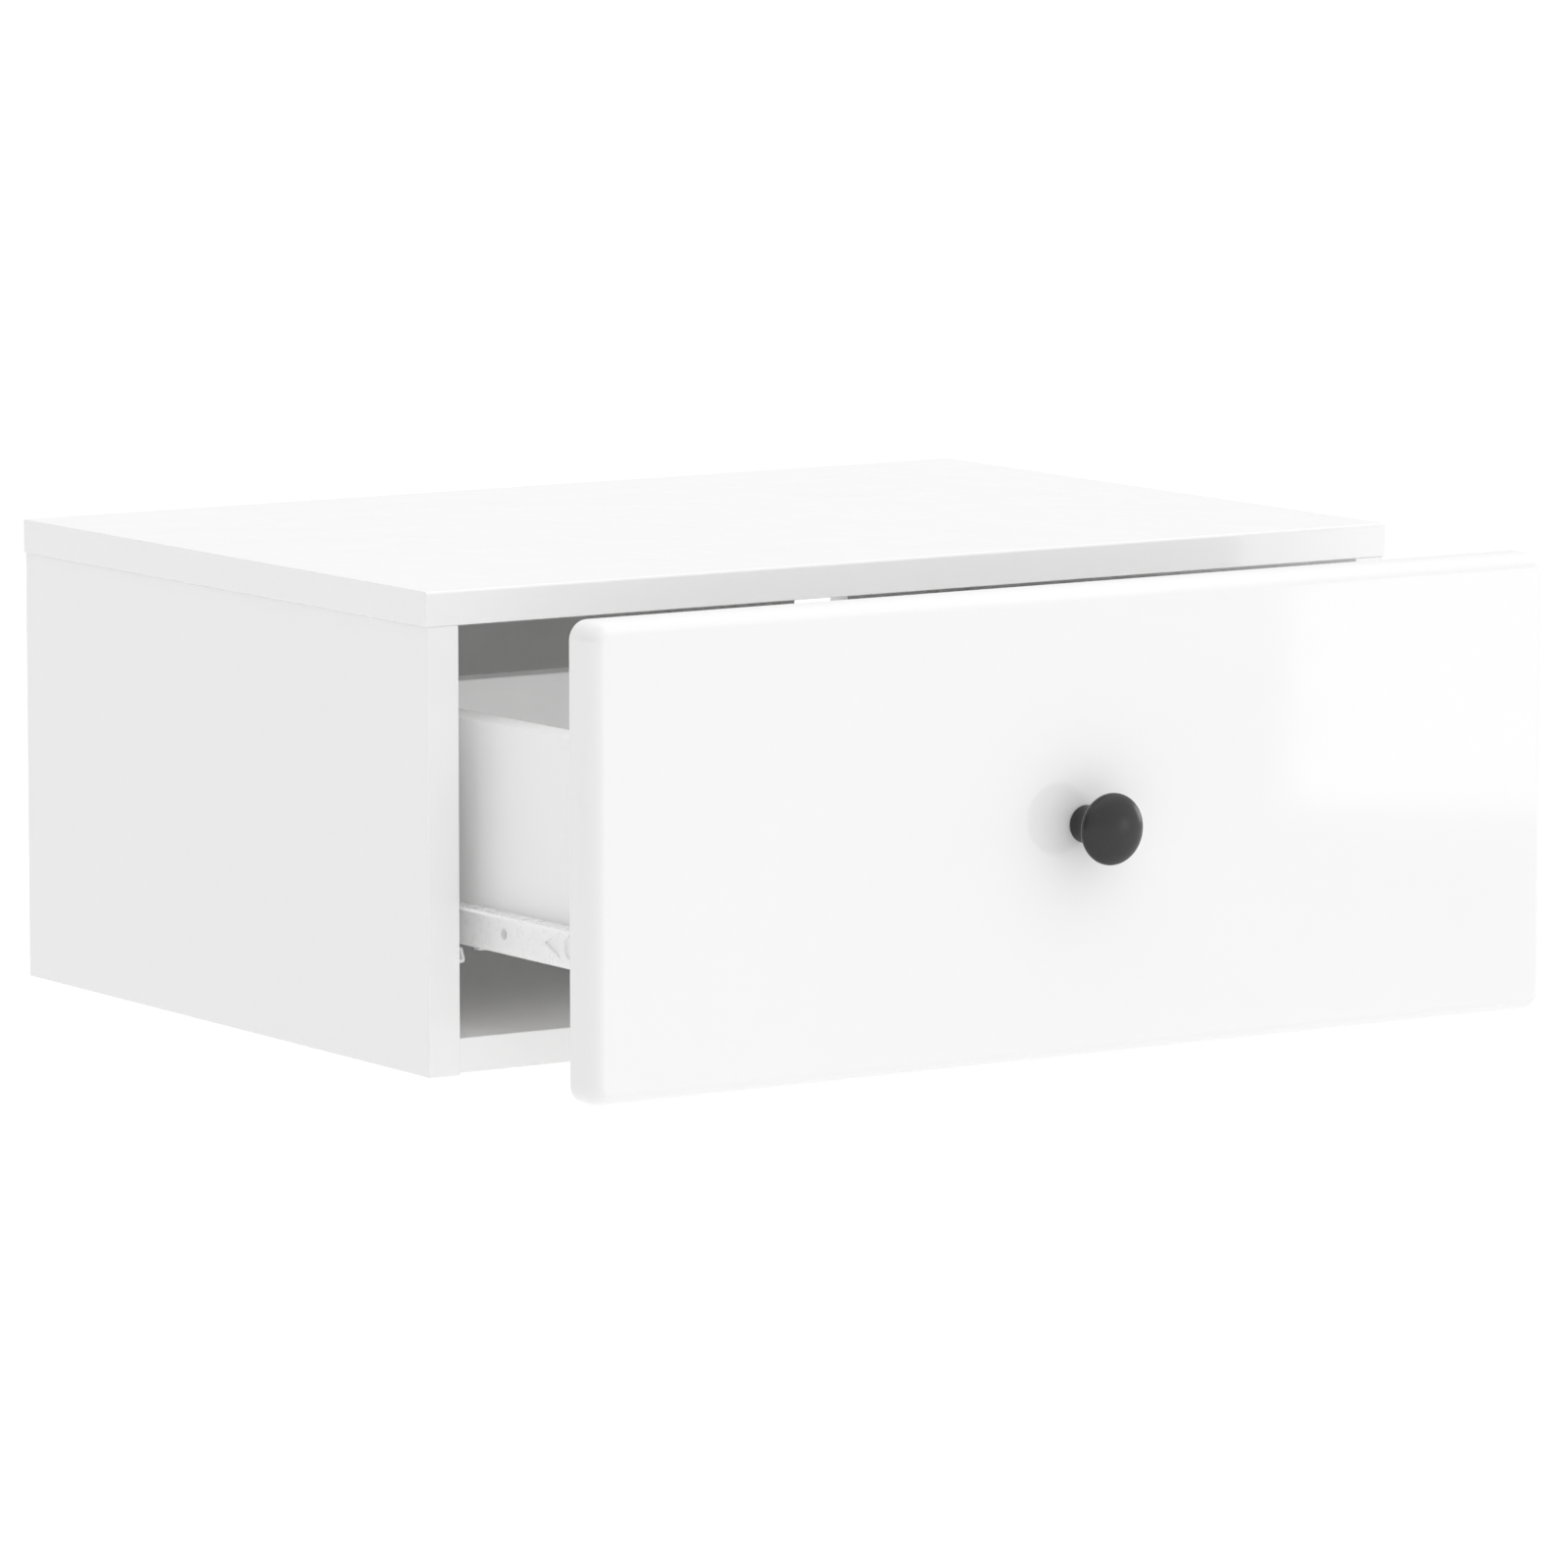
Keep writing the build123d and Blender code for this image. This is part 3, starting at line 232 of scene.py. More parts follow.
def sheet_section(line, thickness, bend, turns=6):
    """The outline of bent sheet metal: line is the middle of the sheet as (a, b) points, and each
    inner corner is bent to the middle radius bend."""
    pts = [Vector(p) for p in line]
    middle = [pts[0]]
    for a, b, c in zip(pts, pts[1:], pts[2:]):
        u, v = (a - b).normalized(), (c - b).normalized()
        half = u.angle(v) / 2
        reach = bend / math.tan(half)
        centre = b + (u + v).normalized() * (bend / math.sin(half))
        s, e = b + u * reach - centre, b + v * reach - centre
        total = s.angle_signed(e)
        for i in range(turns + 1):
            w = s.copy()
            w.rotate(Matrix.Rotation(-total * i / turns, 2))
            middle.append(centre + w)
    middle.append(pts[-1])
    left, right = [], []
    for i, q in enumerate(middle):
        before = middle[max(i - 1, 0)]
        after = middle[min(i + 1, len(middle) - 1)]
        d0 = (q - before).normalized() if i > 0 else (after - q).normalized()
        d1 = (after - q).normalized() if i < len(middle) - 1 else d0
        n = Vector((-(d0 + d1).y, (d0 + d1).x)).normalized()
        k = thickness / 2 / max(0.2, n.dot(Vector((-d0.y, d0.x))))
        left.append(q + n * k)
        right.append(q - n * k)
    return [tuple(p) for p in left] + [tuple(p) for p in reversed(right)]


def prism(outline, place, start, end):
    """A closed bmesh: outline, a ring of 2-D points, run straight from start to end. place(a, b, t)
    gives the 3-D point."""
    bm = bmesh.new()
    first = [bm.verts.new(place(a, b, start)) for a, b in outline]
    last = [bm.verts.new(place(a, b, end)) for a, b in outline]
    n = len(outline)
    for i in range(n):
        j = (i + 1) % n
        bm.faces.new((first[i], first[j], last[j], last[i]))
    bm.faces.new(list(reversed(first)))
    bm.faces.new(last)
    bmesh.ops.recalc_face_normals(bm, faces=bm.faces)
    return bm


def solid(name, bm):
    return link(name, bm)


def combine(target, others, operation):
    for i, o in enumerate(others):
        m = target.modifiers.new("b%d" % i, "BOOLEAN")
        m.operation, m.solver, m.object = operation, "EXACT", o
    evaluated(target)
    for o in others:
        bpy.data.objects.remove(o)
    return target


def soften(obj, width, angle=35, segments=2):
    """Breaks the sharp edges of a mesh by a small rounding."""
    m = obj.modifiers.new("soft", "BEVEL")
    m.limit_method, m.angle_limit = "ANGLE", math.radians(angle)
    m.width, m.segments, m.use_clamp_overlap = width * MM, segments, True
    m.harden_normals = False
    return evaluated(obj)


def mirror_x(obj, name):
    """A mirrored copy of obj, with its faces turned the right way out."""
    mesh = obj.data.copy()
    mesh.transform(Matrix.Scale(-1, 4, Vector((1, 0, 0))))
    mesh.flip_normals()
    other = bpy.data.objects.new(name, mesh)
    bpy.context.scene.collection.objects.link(other)
    return other


# =====================================================================================
# Materials
# =====================================================================================
class Nodes:
    """Small helper for a material's node tree."""

    def __init__(self, name):
        self.mat = bpy.data.materials.new(name)
        self.mat.use_nodes = True
        self.tree = self.mat.node_tree
        self.bsdf = next(n for n in self.tree.nodes if n.type == "BSDF_PRINCIPLED")
        self.coord = self.tree.nodes.new("ShaderNodeTexCoord")
        self.mat.use_nodes = True

    def add(self, kind, **values):
        n = self.tree.nodes.new(kind)
        for k, v in values.items():
            if hasattr(n, k):
                setattr(n, k, v)
            else:
                n.inputs[k.replace("_", " ")].default_value = v
        return n

    def link(self, a, b):
        self.tree.links.new(a, b)

    def set(self, **values):
        for k, v in values.items():
            self.bsdf.inputs[k.replace("_", " ")].default_value = v
        return self

    def place(self, scale=(1, 1, 1)):
        m = self.add("ShaderNodeMapping")
        m.inputs["Scale"].default_value = scale
        self.link(self.coord.outputs["Object"], m.inputs["Vector"])
        return m.outputs["Vector"]

    def noise(self, scale, detail=2.0, rough=0.5, stretch=(1, 1, 1), distort=0.0):
        n = self.add("ShaderNodeTexNoise")
        n.inputs["Scale"].default_value = scale
        n.inputs["Detail"].default_value = detail
        n.inputs["Roughness"].default_value = rough
        n.inputs["Distortion"].default_value = distort
        self.link(self.place(stretch), n.inputs["Vector"])
        return n.outputs["Fac"]

    def cells(self, scale, stretch=(1, 1, 1), feature="F1"):
        n = self.add("ShaderNodeTexVoronoi")
        n.feature = feature
        n.inputs["Scale"].default_value = scale
        self.link(self.place(stretch), n.inputs["Vector"])
        return n

    def ramp(self, fac, *stops):
        n = self.add("ShaderNodeValToRGB")
        r = n.color_ramp
        while len(r.elements) > 1:
            r.elements.remove(r.elements[-1])
        r.elements[0].position, r.elements[0].color = stops[0][0], (*stops[0][1], 1)
        for pos, colour in stops[1:]:
            e = r.elements.new(pos)
            e.color = (*colour, 1)
        self.link(fac, n.inputs["Fac"])
        return n.outputs["Color"]

    def span(self, fac, lo, hi, from_lo=0.3, from_hi=0.7):
        n = self.add("ShaderNodeMapRange")
        n.inputs["From Min"].default_value = from_lo
        n.inputs["From Max"].default_value = from_hi
        n.inputs["To Min"].default_value = lo
        n.inputs["To Max"].default_value = hi
        self.link(fac, n.inputs["Value"])
        return n.outputs["Result"]

    def mix(self, fac, a, b):
        n = self.add("ShaderNodeMix", data_type="RGBA")
        for sock, v in ((n.inputs["Factor"], fac), (n.inputs[6], a), (n.inputs[7], b)):
            if isinstance(v, (int, float)):
                sock.default_value = v
            elif isinstance(v, tuple):
                sock.default_value = (*v, 1)
            else:
                self.link(v, sock)
        return n.outputs[2]

    def add_up(self, a, b, how="ADD", k=None):
        n = self.add("ShaderNodeMath", operation=how)
        self.link(a, n.inputs[0])
        if k is None:
            self.link(b, n.inputs[1])
        else:
            n.inputs[1].default_value = k
        return n.outputs[0]

    def bump(self, height, distance, strength=1.0, after=None):
        n = self.add("ShaderNodeBump")
        n.inputs["Strength"].default_value = strength
        n.inputs["Distance"].default_value = distance
        self.link(height, n.inputs["Height"])
        if after is not None:
            self.link(after, n.inputs["Normal"])
        self.link(n.outputs["Normal"], self.bsdf.inputs["Normal"])
        return n.outputs["Normal"]

    def colour(self, c):
        self.link(c, self.bsdf.inputs["Base Color"])

    def rough(self, r):
        self.link(r, self.bsdf.inputs["Roughness"])


def gloss_white(name, tone, rough, peel):
    """Lacquered or foiled white board: near-mirror gloss, a trace of orange peel, faint wiping haze."""
    n = Nodes(name)
    cloud = n.noise(7.0, 2.0, 0.55)
    n.colour(n.ramp(cloud, (0.35, tuple(x * 0.993 for x in tone)), (0.65, tone)))
    haze = n.noise(26.0, 4.0, 0.6, stretch=(1.0, 1.0, 2.2), distort=0.6)
    n.rough(n.span(haze, rough * 0.7, rough * 1.35))
    waves = n.noise(95.0, 1.5, 0.4)
    n.bump(waves, peel)
    n.set(IOR=1.56, Specular_IOR_Level=0.5)
    return n.mat


def melamine(name, tone):
    """Satin white melamine with the fine pearl grain of its press plate."""
    n = Nodes(name)
    cloud = n.noise(14.0, 3.0, 0.5)
    speck = n.noise(2600.0, 1.0, 0.5)
    c = n.ramp(cloud, (0.3, tuple(x * 0.988 for x in tone)), (0.7, tone))
    n.colour(n.mix(n.span(speck, 0.0, 0.05), c, tuple(x * 1.03 for x in tone)))
    n.rough(n.span(n.noise(60.0, 3.0, 0.6), 0.34, 0.44))
    pearl = n.cells(1500.0).outputs["Distance"]
    n.bump(pearl, 0.000003)
    n.set(IOR=1.5)
    return n.mat


def hardboard_face(name, tone):
    """The painted face of thin fibreboard: smooth, with the faint cloudiness of the fibre below."""
    n = Nodes(name)
    fibre = n.noise(420.0, 4.0, 0.65, stretch=(1.0, 1.0, 1.6))
    c = n.ramp(n.noise(18.0, 3.0, 0.6), (0.3, tuple(x * 0.98 for x in tone)), (0.7, tone))
    n.colour(n.mix(n.span(fibre, 0.0, 0.10), c, tuple(x * 0.95 for x in tone)))
    n.rough(n.span(n.noise(45.0, 2.0, 0.5), 0.42, 0.52))
    n.bump(fibre, 0.000006)
    n.set(IOR=1.48)
    return n.mat


def hardboard_screen(name):
    """The white-primed screen side of fibreboard: pressed fibre under thin paint, with the mark of
    the wire screen and a little fibre showing through."""
    n = Nodes(name)
    fibre = n.noise(900.0, 5.0, 0.7)
    cloud = n.noise(30.0, 4.0, 0.6)
    c = n.ramp(fibre, (0.25, (0.66, 0.655, 0.645)), (0.5, (0.76, 0.758, 0.752)), (0.78, (0.82, 0.82, 0.817)))
    n.colour(n.mix(n.span(cloud, 0.0, 0.35), c, (0.74, 0.738, 0.732)))
    n.rough(n.span(fibre, 0.66, 0.82))
    first = n.bump(n.cells(760.0).outputs["Distance"], 0.00004)
    n.bump(fibre, 0.00003, after=first)
    n.set(IOR=1.45)
    return n.mat


def chipboard(name):
    """The cut edge of particle board: pressed wood chips, coarser in the middle layer, with small cavities between
    them, which are painted near-black as the shade inside them.
    """
    n = Nodes(name)
    chips = n.cells(330.0, stretch=(1.0, 1.0, 2.3))
    fine = n.cells(900.0, stretch=(1.0, 1.0, 1.5))
    tone = n.ramp(chips.outputs["Color"], (0.15, (0.22, 0.13, 0.06)), (0.5, (0.47, 0.32, 0.17)), (0.85, (0.66, 0.50, 0.31)))
    small = n.ramp(fine.outputs["Color"], (0.2, (0.30, 0.19, 0.10)), (0.8, (0.62, 0.46, 0.28)))
    c = n.mix(0.4, tone, small)
    cavities_and_painted_shade = n.ramp(n.noise(520.0, 3.0, 0.6), (0.36, (0.0, 0.0, 0.0)), (0.44, (1.0, 1.0, 1.0)))
    # Painted shade: the cavities between the chips are painted a near-black brown. The same mask gives them real
    # relief in the bump below.
    n.colour(n.mix(cavities_and_painted_shade, (0.12, 0.07, 0.035), c))
    n.rough(n.span(n.noise(700.0, 2.0, 0.5), 0.75, 0.95))
    first = n.bump(chips.outputs["Distance"], 0.00018)
    n.bump(cavities_and_painted_shade, 0.00020, after=first)
    n.set(IOR=1.4)
    return n.mat


def coated_steel(name, tone):
    """White epoxy-coated sheet steel: a smooth film with a fine dimple."""
    n = Nodes(name)
    c = n.ramp(n.noise(40.0, 2.0, 0.5), (0.3, tuple(x * 0.985 for x in tone)), (0.7, tone))
    n.colour(c)
    n.rough(n.span(n.noise(160.0, 3.0, 0.6), 0.24, 0.34))
    n.bump(n.noise(850.0, 2.0, 0.5), 0.0000022)
    n.set(IOR=1.5)
    return n.mat


def nylon(name, tone):
    """Moulded white nylon: slightly waxy, with faint turning rings from the tool."""
    n = Nodes(name)
    n.colour(n.ramp(n.noise(300.0, 2.0, 0.5), (0.3, tuple(x * 0.97 for x in tone)), (0.7, tone)))
    n.rough(n.span(n.noise(500.0, 2.0, 0.6), 0.30, 0.42))
    n.bump(n.noise(1400.0, 1.0, 0.5), 0.0000015)
    n.set(IOR=1.53)
    return n.mat


def plated(name, tone, lo, hi, grain):
    """Zinc plate or castings: metal with a spangled, slightly uneven sheen."""
    n = Nodes(name)
    spangle = n.cells(grain).outputs["Color"]
    c = n.ramp(spangle, (0.2, tuple(x * 0.88 for x in tone)), (0.8, tone))
    n.colour(c)
    n.rough(n.span(n.noise(700.0, 3.0, 0.6), lo, hi))
    n.bump(n.noise(1600.0, 2.0, 0.5), 0.000004)
    n.set(Metallic=1.0)
    return n.mat


def beech(name):
    """Beech dowel: pale pinkish wood with short dark flecks along the grain and pressed flutes."""
    n = Nodes(name)
    grain = n.noise(260.0, 5.0, 0.65, stretch=(0.25, 0.25, 1.0))
    c = n.ramp(grain, (0.25, (0.42, 0.25, 0.13)), (0.6, (0.64, 0.44, 0.27)), (0.85, (0.74, 0.55, 0.37)))
    flecks = n.ramp(n.noise(1500.0, 1.0, 0.5, stretch=(0.3, 0.3, 1.0)), (0.62, (0, 0, 0)), (0.70, (1, 1, 1)))
    n.colour(n.mix(flecks, c, (0.30, 0.17, 0.085)))
    n.rough(n.span(grain, 0.5, 0.68))
    n.bump(grain, 0.00005)
    n.set(IOR=1.45)
    return n.mat


def satin_black(name):
    """Satin black lacquer on the turned knob."""
    n = Nodes(name)
    cloud = n.noise(110.0, 3.0, 0.55)
    n.colour(n.ramp(cloud, (0.3, (0.0135, 0.0135, 0.0136)), (0.7, (0.0160, 0.0160, 0.0161))))
    n.rough(n.span(n.noise(340.0, 3.0, 0.6), 0.20, 0.25))
    n.bump(n.noise(700.0, 2.0, 0.5), 0.0000012)
    n.set(IOR=1.5)
    return n.mat


TONE_BOARD = (0.910, 0.910, 0.910)
# Painted shade: the drawer front's white is the boards' white made about 3 % darker, so that the front comes out
# dimmer in the same light.
TONE_FRONT_PAINTED_SHADE = (0.882, 0.882, 0.882)
BOARD_MAT = gloss_white("white_gloss_board", TONE_BOARD, 0.10, 0.0000022)
FRONT_MAT = gloss_white("white_gloss_front", TONE_FRONT_PAINTED_SHADE, 0.045, 0.0000008)
INNER_MAT = melamine("white_inner_board", (0.935, 0.935, 0.934))
SHEET_MAT = hardboard_face("white_hardboard", (0.930, 0.930, 0.929))
SHEET_BACK = hardboard_screen("screen_hardboard")
CHIP_MAT = chipboard("raw_chipboard")
RUNNER_MAT = coated_steel("white_steel", (0.935, 0.935, 0.934))
NYLON_MAT = nylon("white_nylon", (0.915, 0.915, 0.913))
CAP_MAT = nylon("white_cap", (0.925, 0.925, 0.924))
ZINC_MAT = plated("zinc_steel", (0.72, 0.73, 0.74), 0.22, 0.36, 2200.0)
CAST_MAT = plated("zinc_casting", (0.50, 0.51, 0.53), 0.40, 0.58, 1500.0)
BEECH_MAT = beech("beech")
KNOB_MAT = satin_black("knob_black")

# =====================================================================================
# Carcass boards
# =====================================================================================
front_top = (lambda m, a: abs(a.x) > 0.9 and m.y < FRONT_Y + 1 and m.z > TOP_Z - 1, 1.5)


def inner_face(o, axis, at):
    """Gives the face of a board that looks into the carcass the plain inner finish, in the third slot."""
    for p in o.data.polygons:
        if abs(p.center[axis] / MM - at) < 0.05:
            p.material_index = 2


BOARD_SET = [BOARD_MAT, CHIP_MAT, INNER_MAT]
top = board("top_board", (-250, 250, FRONT_Y, 0, 47, 62), special=[front_top], raw=[(1, 0.0)])
inner_face(top, 2, 47.0)
dress(top, "carcass", BOARD_SET, ["top_panel"])

left = board("left_side_board", (-SIDE_OUT, -SIDE_IN, -346.2, 0, -144.5, 47), raw=[(1, 0.0)])
inner_face(left, 0, -SIDE_IN)
dress(left, "carcass", BOARD_SET, ["left_side_panel"])
right = board("right_side_board", (SIDE_IN, SIDE_OUT, -346.2, 0, -144.5, 47), raw=[(1, 0.0)])
inner_face(right, 0, SIDE_IN)
dress(right, "carcass", BOARD_SET, ["right_side_panel"])

bottom = board("bottom_board", (-SIDE_IN, SIDE_IN, -345.5, 0, -143.7, -128.7), raw=[(1, 0.0)])
inner_face(bottom, 2, -128.7)
dress(bottom, "carcass", BOARD_SET, ["bottom_panel"])


def keyhole(x):
    """The cutter of one keyhole: a round entry with a slot up to the seat."""
    half = math.degrees(math.asin(5.0 / 15.0))
    ring = arc(x, 0.0, 15.0, 90 + half, 450 - half, 72)
    ring += arc(x, 24.0, 5.0, 0, 180, 20)
    return solid("cutter", prism(ring, lambda a, b, t: (a, t, b), -20.0, 5.0))


rail = board("hanging_rail_board", (-SIDE_IN, SIDE_IN, -15, 0, -33, 47), radius=0.3,
             cutters=[keyhole(-168.0), keyhole(168.0)])
dress(rail, "carcass", [INNER_MAT], ["hanging_rail"])

back = board("back_sheet", (-239, 239, -10.5, -7.5, -133.9, -26.5), radius=0.15)
for p in back.data.polygons:
    if p.center.y / MM > -10.3:
        p.material_index = 1
dress(back, "carcass", [SHEET_MAT, SHEET_BACK], ["back_panel"])

# =====================================================================================
# Drawer front: moulded, rounded corners and an oval-rounded front edge
# =====================================================================================
CORNER_R, EDGE_IN, EDGE_DEEP, REAR_R = 8.5, 6.3, 11.0, 0.6


def rounded_ring(inset, y, k=14, straight=6):
    """One ring of the front, inset from its outline, at depth y."""
    a, b = FRONT_HALF_W - inset, FRONT_HALF_H - inset
    r = max(CORNER_R - inset, 0.6)
    ring = []
    corners = ((a - r, b - r, 0), (-(a - r), b - r, 90), (-(a - r), -(b - r), 180), (a - r, -(b - r), 270))
    for i, (cx, cz, start) in enumerate(corners):
        points = arc(cx, cz, r, start, start + 90, k)
        ring += points
        nx, nz, ns = corners[(i + 1) % 4]
        first = arc(nx, nz, r, ns, ns + 90, k)[0]
        last = points[-1]
        ring += [(last[0] + (first[0] - last[0]) * j / straight, last[1] + (first[1] - last[1]) * j / straight)
                 for j in range(1, straight)]
    return [(x, y, FRONT_MID_Z + z) for x, z in ring]


rings = [rounded_ring(6.0, BACK_OF_FRONT_Y), rounded_ring(REAR_R, BACK_OF_FRONT_Y)]
for a in (22.5, 45, 67.5, 90):
    rings.append(rounded_ring(REAR_R - REAR_R * math.sin(math.radians(a)),
                              BACK_OF_FRONT_Y - REAR_R + REAR_R * math.cos(math.radians(a))))
SHOULDER_Y = FACE_Y + EDGE_DEEP
rings.append(rounded_ring(0.0, SHOULDER_Y + 0.8))
for i in range(0, 25):
    a = math.radians(90 * i / 24)
    rings.append(rounded_ring(EDGE_IN * (1 - math.cos(a)), SHOULDER_Y - EDGE_DEEP * math.sin(a)))
rings.append(rounded_ring(EDGE_IN + 1.0, FACE_Y))
bm = bmesh.new()
loops = [[bm.verts.new(p) for p in ring] for ring in rings]
for a, b in zip(loops, loops[1:]):
    for i in range(len(a)):
        j = (i + 1) % len(a)
        bm.faces.new((a[i], a[j], b[j], b[i]))
bm.faces.new(loops[0])
bm.faces.new(loops[-1])
bmesh.ops.recalc_face_normals(bm, faces=bm.faces)
front = smooth(solid("drawer_front_moulded", bm), angle=50)
dress(front, "drawer", [FRONT_MAT], ["drawer_front"])

# =====================================================================================
# Drawer box
# =====================================================================================
long_top = (lambda m, a: abs(a.y) > 0.9 and m.z > BOX_TOP_Z - 1, 0.9)
hole_rim = (lambda m, a: -86 < m.z < -80 and -370 < m.y < -230, 0.12)
SPARE_HOLE_YS = (-363.1, -299.1, -235.1)


def blind_hole(sign, y):
    """The cutter of one spare hole in a drawer side, behind those of the runner's web."""
    return solid("cutter", lathe([(0, -3.0), (2.5, -3.0), (2.5, 7.5), (0, 7.5)], (sign * BOX_OUT, y, -83.0), (-sign, 0, 0), 48))


for sign, side in ((-1, "left"), (1, "right")):
    x = sorted((sign * BOX_OUT, sign * BOX_IN))
    o = board("drawer_%s_side_board" % side, (x[0], x[1], BACK_OF_FRONT_Y, BOX_REAR_Y, BOX_BOTTOM_Z, BOX_TOP_Z),
              radius=0.3, special=[long_top, hole_rim], raw=[(1, BOX_REAR_Y), (2, BOX_BOTTOM_Z)],
              cutters=[blind_hole(sign, y) for y in SPARE_HOLE_YS])
    dress(o, "drawer", [INNER_MAT, CHIP_MAT], ["drawer_%s_side" % side])

across_top = (lambda m, a: abs(a.x) > 0.9 and m.z > BOX_TOP_Z - 1, 0.9)
o = board("drawer_back_board", (-BOX_IN, BOX_IN, -218, BOX_REAR_Y, -79.5, BOX_TOP_Z), radius=0.3,
          special=[across_top], raw=[(2, -79.5)])
dress(o, "drawer", [INNER_MAT, CHIP_MAT], ["drawer_back"])

o = board("drawer_bottom_sheet", (-211.6, 211.6, -458.1, BOX_REAR_Y, -82.5, -79.5), radius=0.15)
for p in o.data.polygons:
    if p.center.z / MM < -79.7:
        p.material_index = 1
dress(o, "drawer", [SHEET_MAT, SHEET_BACK], ["drawer_bottom"])

# =====================================================================================
# Cover caps over the cam locks: thin moulded discs with a rounded rim
# =====================================================================================
CAP = [(0, 0), (8.5, 0), (8.5, 0.35)] + [(7.9 + 0.6 * math.cos(math.radians(t)), 0.35 + 0.40 * math.sin(math.radians(t)))
                                         for t in (20, 45, 70, 90)] + [(6.5, 0.775), (3.0, 0.795), (0, 0.8)]
JOINT_YS = (-296.5, -60.0)


def caps(places):
    return join([lathe(CAP, origin, direction, 48) for origin, direction in places])


places = []
for s in (-1, 1):
    for y in JOINT_YS:
        places.append(((s * SIDE_IN, y, 23.0), (-s, 0, 0)))
        places.append(((s * 210.0, y, -143.7), (0, 0, -1)))
    places.append(((s * 210.0, -15.0, 10.0), (0, -1, 0)))
o = smooth(solid("cabinet_caps", caps(places)), angle=40)
dress(o, "carcass", [CAP_MAT], ["cabinet_cam_caps"])

places = [((s * BOX_IN, -429.0, z), (-s, 0, 0)) for s in (-1, 1) for z in (-12.0, -66.0)]
o = smooth(solid("drawer_caps", caps(places)), angle=40)
dress(o, "drawer", [CAP_MAT], ["drawer_cam_caps"])


# =====================================================================================
# Runners: bent and punched sheet steel under a white coating
# =====================================================================================
def along_y(a, b, t):
    return (a, t, b)


def drill(x, y, z, r, direction=(1, 0, 0), length=6.0, segments=40):
    """A round cutter centred on the point."""
    return solid("cutter", lathe([(0, -length / 2), (r, -length / 2), (r, length / 2), (0, length / 2)],
                                 (x, y, z), direction, segments))


def window(points, x, depth=3.0):
    """A cutter through the web of a runner, from (y, z) points."""
    return solid("cutter", prism(points, lambda a, b, t: (t, a, b), x - depth, x + depth))


def rounded(points, r, n=5):
    """points with each corner rounded to r."""
    out = []
    pts = [Vector(p) for p in points]
    for i, b in enumerate(pts):
        a, c = pts[i - 1], pts[(i + 1) % len(pts)]
        u, v = (a - b).normalized(), (c - b).normalized()
        half = u.angle(v) / 2
        reach = min(r / math.tan(half), 0.45 * (a - b).length, 0.45 * (c - b).length)
        rr = reach * math.tan(half)
        if half > math.radians(80):
            out.append(tuple(b))
            continue
        centre = b + (u + v).normalized() * (rr / math.sin(half))
        s, e = b + u * reach - centre, b + v * reach - centre
        total = s.angle_signed(e)
        for k in range(n + 1):
            w = s.copy()
            w.rotate(Matrix.Rotation(-total * k / n, 2))
            out.append(tuple(centre + w))
    return out


RING_Y, WEB_MID = -416.1, -82.5


def three_cornered(way):
    """A window with an apex on the runner's middle line and a hollow side about the round window."""
    half = math.degrees(math.atan2(5.7, 8.1))
    hollow = arc(RING_Y, WEB_MID, 9.9, half * 1.0, -half * 1.0, 12) if way > 0 else arc(
        RING_Y, WEB_MID, 9.9, 180 + half, 180 - half, 12)
    pts = [(RING_Y + way * 21.2, WEB_MID)] + ([hollow[0]] + hollow[1:] if way > 0 else [hollow[0]] + hollow[1:])
    # start at the apex, round it a little, and run along the hollow side
    apex = Vector(pts[0])
    out = []
    ends = (Vector(hollow[0]), Vector(hollow[-1]))
    u, v = (ends[-1] - apex).normalized(), (ends[0] - apex).normalized()
    out.append(tuple(apex + u * 0.9))
    out.append(tuple(apex + (u + v) * 0.28))
    out.append(tuple(apex + v * 0.9))
    out += [tuple(p) for p in hollow]
    return out


# drawer runner, left: shelf under the side, web, flange over the front roller
section = sheet_section([(-210.0, -91.3), (-222.1, -91.3), (-222.1, -73.8), (-231.2, -73.8)], STEEL, 1.3)
runner = solid("left_drawer_runner_steel", prism(section, along_y, BACK_OF_FRONT_Y, BOX_REAR_Y))
cuts = [drill(-222.1, RING_Y, WEB_MID, 5.4), window(three_cornered(1), -222.1), window(three_cornered(-1), -222.1)]
cuts += [drill(-222.1, y, -83.0, 2.5) for y in SPARE_HOLE_YS]
cuts += [drill(-222.1, -213.0, -88.7, 2.02)]
cuts += [drill(-215.5, y, -91.3, 1.9, (0, 0, 1)) for y in (-439.0, -333.0, -219.0)]
combine(runner, cuts, "DIFFERENCE")
soften(runner, 0.16)
smooth(runner, angle=40)
twin = smooth(mirror_x(runner, "right_drawer_runner_steel"), angle=40)
dress(runner, "drawer", [RUNNER_MAT], ["left_drawer_runner"])
dress(twin, "drawer", [RUNNER_MAT], ["right_drawer_runner"])

# cabinet runner, left: web, floor and lip, roof behind the front roller
channel = sheet_section([(-225.0, -79.2), (-233.4, -79.2), (-233.4, -98.0), (-224.1, -98.0), (-224.1, -92.6)], STEEL, 1.3)
fixed = solid("left_cabinet_runner_steel", prism(channel, along_y, -304.5, -92.5))
trough = sheet_section([(-233.4, -84.0), (-233.4, -98.0), (-224.1, -98.0), (-224.1, -92.6)], STEEL, 1.3)
nose = solid("part", prism(trough, along_y, -333.7, -303.0))
plate = rounded([(-342.5, -92.6), (-342.5, -73.2), (-310.5, -73.2), (-303.0, -80.0), (-303.0, -95.0), (-333.0, -96.6)], 1.2)
web = solid("part", prism(plate, lambda a, b, t: (t, a, b), -234.0, -232.8))
combine(fixed, [nose, web], "UNION")
